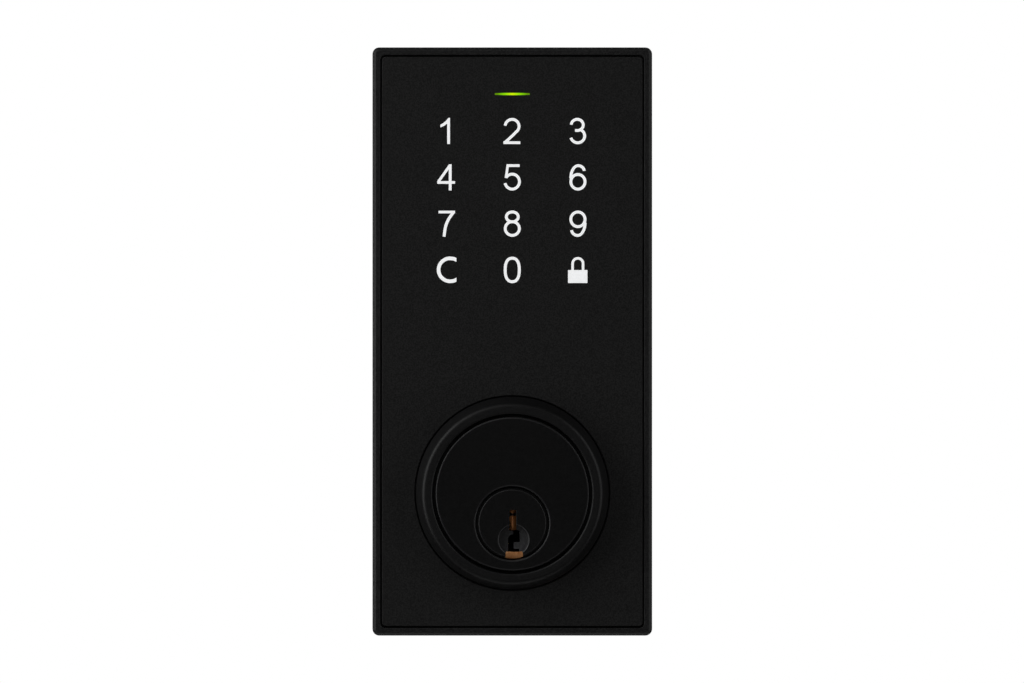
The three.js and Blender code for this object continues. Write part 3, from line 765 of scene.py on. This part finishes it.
black_moulding = coat_finish(
    "black_moulding", (0.012, 0.012, 0.012), (0.02, 0.02, 0.02),
    grain_mm=0.4, bump_mm=0.01, rough_low=0.45, rough_high=0.6,
)
for node in ("board_carrier", "board_link", "control_chip", "buzzer"):
    keep(node, black_moulding, 0.1)
cream_moulding = coat_finish(
    "cream_moulding", (0.66, 0.62, 0.5), (0.72, 0.69, 0.58),
    grain_mm=0.5, bump_mm=0.01, rough_low=0.4, rough_high=0.5,
)
keep("cable_socket", cream_moulding, 0.1)

LINE_DEPTH, LINE_STRETCH = 0.004, 0.03


def metal_finish(name, dark, light, blotch_mm, rough_low, rough_high, lines_mm=0, line_axis="X"):
    """Bare or plated metal: cloudy tone, gloss that drifts, and fine tool lines along an axis."""
    finish, shader, spot = new_finish(name)
    shader.inputs["Metallic"].default_value = 1
    cloud = noise(spot, blotch_mm, 4, 0.6)
    link(two_tone(spread(cloud, 0, 1), dark, light), shader.inputs["Base Color"])
    link(spread(cloud, rough_low, rough_high), shader.inputs["Roughness"])
    if lines_mm:
        stretch = beside(spot, "Mapping")
        scale = [LINE_STRETCH if axis == line_axis else 1 for axis in "XYZ"]
        stretch.inputs["Scale"].default_value = scale
        link(spot, stretch.inputs["Vector"])
        relief(shader, noise(stretch.outputs["Vector"], lines_mm, 3), LINE_DEPTH)
    return finish


zinc = metal_finish("zinc_plate", (0.44, 0.45, 0.46), (0.56, 0.57, 0.57), 5, 0.34, 0.46, 0.12, "Z")
tin = metal_finish("tinned_can", (0.5, 0.51, 0.52), (0.62, 0.62, 0.62), 3, 0.25, 0.36)
keep("radio_module", tin, 0.15)


def socket_screw(name, node, head_r, shank_r):
    """A cheese-head screw with a rolled thread and a six-sided socket."""
    low, high = corners_of(node)
    x, z = middle_of(node)
    head_h, head_edge = head_r * 0.46, 0.35
    seat = high.y - head_h
    root_r, neck_r, pitch = shank_r * 0.84, shank_r * 0.95, 0.5
    profile = [(0, low.y), (shank_r * 0.55, low.y), (shank_r * 0.85, low.y + 0.4)]
    y = low.y + 0.6
    while y < seat - 0.8:
        profile += [(root_r, y), (shank_r, y + 0.14), (shank_r, y + 0.2), (root_r, y + 0.34)]
        y += pitch
    profile += [(neck_r, seat - 0.5), (neck_r, seat), (head_r - 0.08, seat), (head_r, seat + 0.08)]
    profile += arc(head_r - head_edge, high.y - head_edge, head_edge, 0, 90) + [(0, high.y)]
    screw = turn(name, profile, x, z, 40)
    shape(screw, "DIFFERENCE", rod(head_r * 0.42, high.y - head_h * 0.65, high.y + PAST, x, z, 6))
    even_shading(screw)
    dress(screw, zinc, "unit", [node])


for i in range(1, 5):
    socket_screw(f"board_fixing_{i}", f"board_screw_{i}", 2, 0.9)

# ==== Back plate, post and gasket ====
# A zinc-plated steel plate closes the box, held by four screws. It carries a riveted post
# for the upper long bolt, and a die-cut rubber gasket seals the whole back to the door.

keep("back_plate", zinc, 0.12)
for i in range(1, 5):
    socket_screw(f"plate_fixing_{i}", f"back_plate_screw_{i}", 2.7, 1.35)

low, high = corners_of("upper_mounting_post")
POST_Z = middle_of("upper_mounting_post")[1]
POST_R, POST_EDGE, POST_HOLE_END = 4, 0.5, -0.4
FLANGE_R, FLANGE_EDGE = 6, 0.1
THREAD_R, THREAD_PITCH = 2.1, 0.7


def tapped_hole(bottom, mouth, x, z):
    """The tool that leaves a tapped hole: ring after ring of thread, open at the mouth."""
    core_r, mouth_r = THREAD_R * 0.9, THREAD_R + 0.25
    profile = [(0, bottom - 0.6), (core_r, bottom)]
    y = bottom
    while y < mouth - THREAD_PITCH:
        profile += [(core_r, y + 0.1), (THREAD_R, y + 0.4), (THREAD_R, y + 0.45)]
        y += THREAD_PITCH
        profile.append((core_r, y))
    profile += [(core_r, mouth - 0.3), (mouth_r, mouth + 0.05), (mouth_r, mouth + PAST), (0, mouth + PAST)]
    return turn("tool", profile, x, z, 48)


profile = [(0, low.y), (FLANGE_R - FLANGE_EDGE, low.y), (FLANGE_R, low.y + FLANGE_EDGE)]
profile += [(FLANGE_R, PLATE_FRONT), (POST_R, PLATE_FRONT), (POST_R, high.y - POST_EDGE)]
profile += arc(POST_R - POST_EDGE, high.y - POST_EDGE, POST_EDGE, 0, 90) + [(0, high.y)]
post = turn("mounting_post", profile, 0, POST_Z, 64)
shape(post, "DIFFERENCE", tapped_hole(POST_HOLE_END, high.y, 0, POST_Z))
even_shading(post)
dress(post, zinc, "unit", ["upper_mounting_post"])

rubber = coat_finish(
    "gasket_rubber", (0.01, 0.01, 0.0105), (0.022, 0.022, 0.023),
    grain_mm=0.22, bump_mm=0.03, rough_low=0.75, rough_high=0.9,
)
keep("door_gasket", rubber, 0.15)

# ==== Collar ====
# A turned ring, powder coated to match, that stands round the key cylinder. Its side tapers
# to a flat front land, and it hides the joint between the cylinder and the panel.

COLLAR_FRONT = corners_of("cylinder_collar")[0].y
BASE_R, LAND_R, MOUTH_R, LIP_R = 19.95, 18.5, 16.47, 15.05
HEAD_BACK, TAPER_FOOT = -23.4, -22.4
LAND_EDGE, LAND_INSET, MOUTH_EDGE = 1, 0.72, 0.4
taper = math.degrees(math.atan2(BASE_R - LAND_R, TAPER_FOOT - COLLAR_FRONT))
profile = [(LIP_R, FLOOR_FRONT), (BASE_R, FLOOR_FRONT), (BASE_R, TAPER_FOOT)]
profile += arc(LAND_R - LAND_INSET, COLLAR_FRONT + LAND_EDGE, LAND_EDGE, -taper, -90, 8)
profile += arc(MOUTH_R + MOUTH_EDGE, COLLAR_FRONT + MOUTH_EDGE, MOUTH_EDGE, -90, -180, 6)
profile += [(MOUTH_R, HEAD_BACK), (LIP_R, HEAD_BACK)]
collar = turn("collar_ring", profile, 0, CYLINDER_Z, 192)
even_shading(collar, 40)
collar_coat = coat_finish(
    "collar_coat", (0.001, 0.001, 0.0011), (0.0034, 0.0034, 0.0035),
    grain_mm=0.3, bump_mm=0.014, rough_low=0.46, rough_high=0.52, shine=0.17,
)
dress(collar, collar_coat, "unit", ["cylinder_collar"])

# ==== Key cylinder ====
# A turned brass housing, plated satin black on the outside. The plug's bore lies low in it,
# with five pin chambers drilled above and two tapped holes behind for the long bolts.

low, high = corners_of("cylinder_housing")
FACE, CYLINDER_BACK = low.y, high.y
PLUG_Z = middle_of("cylinder_plug")[1]
HEAD_R, BODY_R = 15.82, 14.7
FACE_EDGE, BACK_EDGE = 0.3, 0.35
BORE_R, SINK_R, SINK_FLOOR, SINK_EDGE = 6.6, 7.6, FACE + 2.6, 0.3
CAP_SEAT, CAP_SINK_R = 6.8, 7.6
TIE_X, TIE_DEEP = 10.5, 12  # the long bolts' tapped holes
FIRST_PIN, PIN_STEP = 6, 3.97
PIN_Y = [FACE + FIRST_PIN + PIN_STEP * i for i in range(5)]
CHAMBER_R, CHAMBER_FOOT, CHAMBER_TOP = 1.55, PLUG_Z + 5.1, PLUG_Z + 19.05
SLOT_HALF_WIDTH, SLOT_END, SLOT_TOP = 2.5, 2.65, PLUG_Z + 24
profile = [(0, FACE)] + arc(HEAD_R - FACE_EDGE, FACE + FACE_EDGE, FACE_EDGE, -90, 0, 5)
profile += [(HEAD_R, HEAD_BACK), (BODY_R, HEAD_BACK), (BODY_R, CYLINDER_BACK - BACK_EDGE)]
profile += [(BODY_R - BACK_EDGE, CYLINDER_BACK), (0, CYLINDER_BACK)]
cylinder = turn("key_cylinder", profile, 0, CYLINDER_Z, 192)
bore = [(0, FACE - PAST), (SINK_R + SINK_EDGE, FACE - PAST)]
bore += arc(SINK_R + SINK_EDGE, FACE + SINK_EDGE, SINK_EDGE, -90, -180, 5)
bore += [(SINK_R, SINK_FLOOR), (BORE_R, SINK_FLOOR), (BORE_R, CAP_SEAT), (CAP_SINK_R, CAP_SEAT)]
bore += [(CAP_SINK_R, CYLINDER_BACK + PAST), (0, CYLINDER_BACK + PAST)]


def chamber(z0, z1, y):
    """The tool for one pin chamber, a rod along Z at x = 0."""
    mesh = bmesh.new()
    loop = circle_loop(CHAMBER_R, 32)
    low, high = [[mesh.verts.new((px, y + py, z)) for px, py in loop] for z in (z0, z1)]
    for i in range(len(loop)):
        j = (i + 1) % len(loop)
        mesh.faces.new((low[i], low[j], high[j], high[i]))
    mesh.faces.new(low)
    mesh.faces.new(high)
    return put("tool", mesh)


shape(
    cylinder, "DIFFERENCE",
    turn("tool", bore, 0, PLUG_Z, 128),
    *[tapped_hole(CYLINDER_BACK - TIE_DEEP, CYLINDER_BACK, x, CYLINDER_Z) for x in (-TIE_X, TIE_X)],
    *[chamber(CHAMBER_FOOT, CHAMBER_TOP + 0.1, y) for y in PIN_Y],
    block(-SLOT_HALF_WIDTH, PIN_Y[0] - SLOT_END, CHAMBER_TOP,
          SLOT_HALF_WIDTH, PIN_Y[-1] + SLOT_END, SLOT_TOP),
)
even_shading(cylinder)

PLUG_R, PLUG_FACE_R, PLUG_EDGE, SHOULDER_R = 6.35, 6.95, 0.14, 7.3
STOP_X, STOP_Z, STOP_R = 0.28, PLUG_Z - 3.41, 3.13
STOP_FLOOR, STOP_EDGE = FACE + 1, 0.1
NOTCH_LEFT, NOTCH_RIGHT = -1.4, 2.15  # the flat milled from the keyway down to the rim
NOTCH_TOP = PLUG_Z - 5.9
DEEP_BLACK, BLACK = (0.0003, 0.0003, 0.0003), (0.0026, 0.0026, 0.0027)


def both(first, second, how="MULTIPLY"):
    """Two values of one finish as a single one: their product, or the greater."""
    node = beside(first, "Math")
    node.operation = how
    link(first, node.inputs[0])
    link(second, node.inputs[1])
    return node.outputs[0]


def plated_brass(name):
    """Satin black plating over brass. The rims and the key stop's edge take a lighter tone as painted
    highlights, the stop's floor is worn lighter and painted brighter low on the right, and painted shade
    darkens the gap round the plug.
    The metal is bare inside the bore and behind it, and on the flat at the keyway's mouth, which painted
    shade darkens towards the bottom."""
    finish, shader, spot = new_finish(name)
    axes = beside(spot, "SeparateXYZ")
    link(spot, axes.inputs[0])
    across, depth, height = (axes.outputs[axis] for axis in "XYZ")

    def between(value, start, end, soft=0.05):
        """1 between two levels of a length, in millimetres, else 0."""
        rise = spread(value, 0, 1, (start - soft) * MM, start * MM)
        fall = spread(value, 1, 0, end * MM, (end + soft) * MM)
        return both(rise, fall)

    def from_axis(x, z):
        """The distance from an axis along Y."""
        offset = beside(spot, "VectorMath")
        offset.operation = "MULTIPLY_ADD"
        link(spot, offset.inputs[0])
        offset.inputs[1].default_value = (1, 0, 1)
        offset.inputs[2].default_value = (-x * MM, 0, -z * MM)
        reach = beside(spot, "VectorMath")
        reach.operation = "LENGTH"
        link(offset.outputs[0], reach.inputs[0])
        return reach.outputs["Value"]

    from_plug, from_middle = from_axis(0, PLUG_Z), from_axis(0, CYLINDER_Z)
    grain = noise(spot, 0.3, 3, 0.6)
    plating = two_tone(spread(grain, 0, 1, 0.4, 0.6), DEEP_BLACK, BLACK)
    # Painted highlights: the rims of the head, the counterbore and the plug face take a lighter tone.
    head_rim = between(from_middle, HEAD_R - FACE_EDGE, HEAD_R)
    sink_rim = between(from_plug, SINK_R, SINK_R + SINK_EDGE)
    plug_rim = between(from_plug, PLUG_FACE_R - PLUG_EDGE, PLUG_FACE_R)
    rim_highlights = both(both(head_rim, sink_rim, "MAXIMUM"), plug_rim, "MAXIMUM")
    rim_highlights = both(rim_highlights, between(depth, FACE - PAST, FACE + SINK_EDGE))
    slant = beside(spot, "VectorMath")  # painted light: the stop's floor brighter low on the right
    slant.operation = "DOT_PRODUCT"
    link(spot, slant.inputs[0])
    lean = 0.7
    slant.inputs[1].default_value = (lean, 0, -lean)
    middle = lean * (STOP_X - STOP_Z)
    lit_low_right = spread(slant.outputs["Value"], 0.4, 1, (middle - 0.8) * MM, (middle + 2.2) * MM)
    stop_floor_worn_and_lit = both(between(depth, STOP_FLOOR - 0.04, STOP_FLOOR + 0.1, 0.02), lit_low_right)
    # Painted highlight: the stop's edge takes the same light tone as its floor.
    edge = between(from_axis(STOP_X, STOP_Z), STOP_R, STOP_R + STOP_EDGE)
    edge = both(edge, between(depth, FACE - PAST, FACE + 0.2))
    swirl = noise(spot, 0.5, 4, 0.7)
    # The stop's floor is worn lighter, and brighter still low on the right as painted light.
    worn_and_lit = two_tone(spread(swirl, 0, 1), (0.018, 0.018, 0.019), (0.046, 0.046, 0.048))
    # Painted shade: the gap round the plug and its shoulder are set to deep black.
    gap = between(from_plug, PLUG_FACE_R - 0.1, SINK_R + 0.2)
    gap = both(gap, between(depth, FACE + SINK_EDGE, SINK_FLOOR + 0.1))
    plating = two_tone(gap, plating, DEEP_BLACK)
    plating = two_tone(rim_highlights, plating, (0.014, 0.014, 0.0145))
    plating = two_tone(both(stop_floor_worn_and_lit, edge, "MAXIMUM"), plating, worn_and_lit)
    cloud = noise(spot, 0.6, 5, 0.7)
    mouth = two_tone(spread(cloud, 0, 1), (0.5, 0.18, 0.06), (1, 0.54, 0.24))
    # Painted shade: the bare brass at the keyway's mouth darkens towards the bottom.
    fall = spread(height, 0.2, 1, (PLUG_Z - SHOULDER_R) * MM, NOTCH_TOP * MM)
    mouth = two_tone(fall, (0.12, 0.04, 0.012), mouth)
    drawn = spread(noise(spot, 2.5, 3), 0, 1)
    bar_stock = two_tone(drawn, (0.56, 0.36, 0.14), (0.7, 0.47, 0.2))
    milled = both(between(height, PLUG_Z - SHOULDER_R, NOTCH_TOP + 0.02),
                  between(across, NOTCH_LEFT - 0.02, NOTCH_RIGHT + 0.02))
    milled = both(milled, between(depth, STOP_FLOOR - 0.25, STOP_FLOOR + 0.25))
    notch_middle = from_axis((NOTCH_LEFT + NOTCH_RIGHT) / 2, NOTCH_TOP - 0.75)
    milled = both(milled, between(notch_middle, -1, 1.76, 0.1))
    behind = both(between(depth, SINK_FLOOR + 0.15, CYLINDER_BACK + 30),
                  between(from_plug, PLUG_R - 0.4, 40))
    bare = both(milled, behind, "MAXIMUM")
    brass = two_tone(milled, bar_stock, mouth)
    link(two_tone(bare, plating, brass), shader.inputs["Base Color"])
    link(bare, shader.inputs["Metallic"])
    gloss = both(spread(bare, 0.34, 0.42, 0, 1), spread(rim_highlights, 1, 0.65, 0, 1))
    link(gloss, shader.inputs["Roughness"])
    shader.inputs["Specular IOR Level"].default_value = 0.145
    lines = beside(spot, "CombineXYZ")  # turning lines round the back
    link(from_middle, lines.inputs[0])
    turned = both(behind, noise(lines.outputs[0], 0.3))
    relief(shader, turned, 0.022, under=relief(shader, cloud, 0.008))
    return finish


plating = plated_brass("black_plating")
dress(cylinder, plating, "unit", ["cylinder_housing"])
brass = metal_finish("turned_brass", (0.58, 0.36, 0.13), (0.76, 0.51, 0.22), 1.5, 0.26, 0.38, 0.15)
keep("pin_chamber_cover", brass, 0.08)

# ==== Plug ====
# The turned brass barrel that the key turns. Its face has a round stop for the key's
# shoulder, milled over the broached keyway, and five pin holes come down from its rim.

PLUG_BACK = corners_of("cylinder_plug")[1].y
SHOULDER_FRONT, SHOULDER_EDGE, SHOULDER_BACK = FACE + 0.9, 0.05, FACE + 2.3
NECK_R, NECK_BACK = PLUG_R + 0.12, SINK_FLOOR - 0.05
SPIGOT_R, SPIGOT_FRONT = 5.6, CAP_SEAT + 0.1
profile = [(0, FACE)] + arc(PLUG_FACE_R - PLUG_EDGE, FACE + PLUG_EDGE, PLUG_EDGE, -90, 0, 5)
profile += [(PLUG_FACE_R, SHOULDER_FRONT), (SHOULDER_R - SHOULDER_EDGE, SHOULDER_FRONT)]
profile += [(SHOULDER_R, SHOULDER_FRONT + SHOULDER_EDGE), (SHOULDER_R, SHOULDER_BACK)]
profile += [(NECK_R, SHOULDER_BACK), (NECK_R, NECK_BACK), (PLUG_R, SINK_FLOOR + 0.1)]
profile += [(PLUG_R, SPIGOT_FRONT), (SPIGOT_R, SPIGOT_FRONT), (SPIGOT_R, PLUG_BACK), (0, PLUG_BACK)]
plug = turn("plug", profile, 0, PLUG_Z, 128)
stop = [(0, STOP_FLOOR), (STOP_R - STOP_EDGE, STOP_FLOOR), (STOP_R, STOP_FLOOR - STOP_EDGE)]
stop += [(STOP_R, FACE + STOP_EDGE), (STOP_R + STOP_EDGE, FACE)]
stop += [(STOP_R + STOP_EDGE, FACE - PAST), (0, FACE - PAST)]
keyway = [
    (-0.62, 2.72), (-0.62, -1.62), (0.1, -1.62), (0.2, -1.95), (0.2, -2.25), (-0.45, -2.45),
    (-0.85, -3.05), (-0.88, -5.93), (1.42, -5.93), (1.42, -5.3), (0.28, -5.3), (0.28, -3.9),
    (1.54, -3.9), (1.5, -1.62), (0.82, -1.32), (0.82, 2.72),
]
KEYWAY_END, KEYWAY_EDGE = 6, 0.06
CHAMBER_END = PLUG_Z - 2.05


def grown(points, by):
    """An outline, drawn anticlockwise, set outwards by the same width all round."""
    loop = []
    for before, here, after in zip(points[-1:] + points, points, points[1:] + points[:1]):
        first, second = Vector(here) - Vector(before), Vector(after) - Vector(here)
        first, second = (Vector((way.y, -way.x)).normalized() for way in (first, second))
        loop.append(tuple(Vector(here) + (first + second) * by / (1 + first.dot(second))))
    return loop


keyway = [(x, PLUG_Z + z) for x, z in keyway]
mouth = grown(keyway, KEYWAY_EDGE)
shape(
    plug, "DIFFERENCE",
    turn("tool", stop, STOP_X, STOP_Z, 96),
    loft("tool", [(mouth, FACE - PAST), (mouth, FACE), (keyway, FACE + KEYWAY_EDGE), (keyway, KEYWAY_END)]),
    block(NOTCH_LEFT, FACE - PAST, PLUG_Z - SHOULDER_R - PAST, NOTCH_RIGHT, STOP_FLOOR, NOTCH_TOP),
    *[chamber(CHAMBER_END, PLUG_Z + PLUG_R + PAST, y) for y in PIN_Y],
)
even_shading(plug)
dress(plug, plating, "plug", ["cylinder_plug"])

# ==== Pin stacks ====
# Brass key pins with rounded points, driver pins above them, and a wound steel spring on
# each driver that shortens as the driver rises.

PIN_R, GROOVE_R, PIN_EDGE = 1.3, 0.5, 0.25
PIN_TOP = corners_of("key_pin_1")[1].z
GROOVE_TOP, GROOVE_FOOT = 4.24, 4.82  # a fine false-set groove, below the pin's top
pin_brass, shader, spot = new_finish("pin_brass")
tarnish = noise(spot, 0.8, 4, 0.65)
tone = two_tone(spread(tarnish, 0, 1), (0.68, 0.22, 0.055), (0.96, 0.4, 0.13))
height = beside(spot, "SeparateXYZ")
link(spot, height.inputs[0])
top, foot = PIN_TOP - GROOVE_TOP, PIN_TOP - GROOVE_FOOT
under = spread(height.outputs["Z"], 1, 0, top * MM, (top + 0.05) * MM)
over = spread(height.outputs["Z"], 0, 1, (foot - 0.05) * MM, foot * MM)
tone = two_tone(both(under, over), tone, (0.05, 0.02, 0.008))  # painted shade in the groove
link(tone, shader.inputs["Base Color"])
shader.inputs["Metallic"].default_value = 0.3
link(spread(tarnish, 0.32, 0.45), shader.inputs["Roughness"])
relief(shader, tarnish, 0.006)


def turned_pin(node, profile, y):
    """A pin turned about an axis along Z at x = 0, from (radius, z) pairs, from its foot up."""
    kind, number = node.rsplit("_", 1)
    pin = turn(f"{kind}_turned_{number}", profile, 0, 0, 32)
    for vertex in pin.data.vertices:
        px, pz, py = vertex.co
        vertex.co = (px, y * MM - py, pz)
    even_shading(pin)
    dress(pin, pin_brass, node, [node])


for i, y in enumerate(PIN_Y, 1):
    low, high = corners_of(f"key_pin_{i}")
    top, foot = high.z - GROOVE_TOP, high.z - GROOVE_FOOT
    profile = [(0, low.z), (0.75, low.z + 0.02), (1.05, low.z + 0.09)]
    profile += [(PIN_R - 0.06, low.z + 0.2), (PIN_R, low.z + 0.36)]
    profile += [(PIN_R, foot), (GROOVE_R, foot + 0.06), (GROOVE_R, top - 0.06), (PIN_R, top)]
    profile += [(PIN_R, high.z - PIN_EDGE), (PIN_R - 0.08, high.z - 0.08)]
    profile += [(PIN_R - PIN_EDGE, high.z), (0, high.z)]
    turned_pin(f"key_pin_{i}", profile, y)
    low, high = corners_of(f"driver_pin_{i}")
    profile = [(0, low.z), (PIN_R - PIN_EDGE, low.z), (PIN_R, low.z + PIN_EDGE)]
    profile += [(PIN_R, high.z - PIN_EDGE), (PIN_R - PIN_EDGE, high.z), (0, high.z)]
    turned_pin(f"driver_pin_{i}", profile, y)

steel_wire = metal_finish("steel_wire", (0.45, 0.45, 0.46), (0.62, 0.62, 0.63), 0.8, 0.25, 0.35)
WIRE_R, WIRE_TURNS, WIRE_STEPS = 0.18, 4, 24
for i, y in enumerate(PIN_Y, 1):
    low, high = corners_of(f"pin_spring_{i}")
    coil_r = (high.x - low.x) / 2 - WIRE_R
    line = bpy.data.curves.new(f"coil_{i}", "CURVE")
    line.dimensions = "3D"
    line.bevel_depth = WIRE_R * MM
    line.bevel_resolution = 3
    line.use_fill_caps = True
    spline = line.splines.new("POLY")
    count = WIRE_TURNS * WIRE_STEPS
    spline.points.add(count)
    for k in range(count + 1):
        angle = 2 * math.pi * k / WIRE_STEPS
        rise = (low.z + WIRE_R) + (high.z - low.z - 2 * WIRE_R) * k / count
        x, along = coil_r * math.cos(angle), y + coil_r * math.sin(angle)
        spline.points[k].co = (x * MM, along * MM, rise * MM, 1)
    wound = add(f"coil_{i}", line)
    data = evaluated_mesh(wound)
    mesh = bmesh.new()
    mesh.from_mesh(data)
    bmesh.ops.remove_doubles(mesh, verts=mesh.verts[:], dist=SPECK)
    mesh.to_mesh(data)
    mesh.free()
    bpy.data.objects.remove(wound)
    coil = add(f"wound_spring_{i}", data)
    data.polygons.foreach_set("use_smooth", [True] * len(data.polygons))
    dress(coil, steel_wire, "unit", [f"pin_spring_{i}"])
    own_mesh(coil)

# ==== Tailpiece ====
# A flat zinc-plated steel bar that works the bolt behind the door, scored so that it can be
# snapped to length. A brass cap screwed on the plug's end holds its round head.

keep("tailpiece", zinc, 0.2)
low, high = corners_of("tailpiece_cap")
CAP_R, CAP_EDGE, CAP_ROUND = (high.x - low.x) / 2, 0.1, 0.4
CAP_BORE_R, CAP_BORE_END = 5.9, 11.8
CAP_MOUTH_R, CAP_MOUTH_EDGE = 4.4, 0.15
profile = [(CAP_BORE_R, low.y), (CAP_R - CAP_EDGE, low.y), (CAP_R, low.y + CAP_EDGE)]
profile += arc(CAP_R - CAP_ROUND, high.y - CAP_ROUND, CAP_ROUND, 0, 90)
profile += [(CAP_MOUTH_R + CAP_MOUTH_EDGE, high.y), (CAP_MOUTH_R, high.y - CAP_MOUTH_EDGE)]
profile += [(CAP_MOUTH_R, CAP_BORE_END), (CAP_BORE_R, CAP_BORE_END)]
cap = turn("brass_cap", profile, 0, PLUG_Z, 96)
even_shading(cap)
dress(cap, brass, "plug", ["tailpiece_cap"])
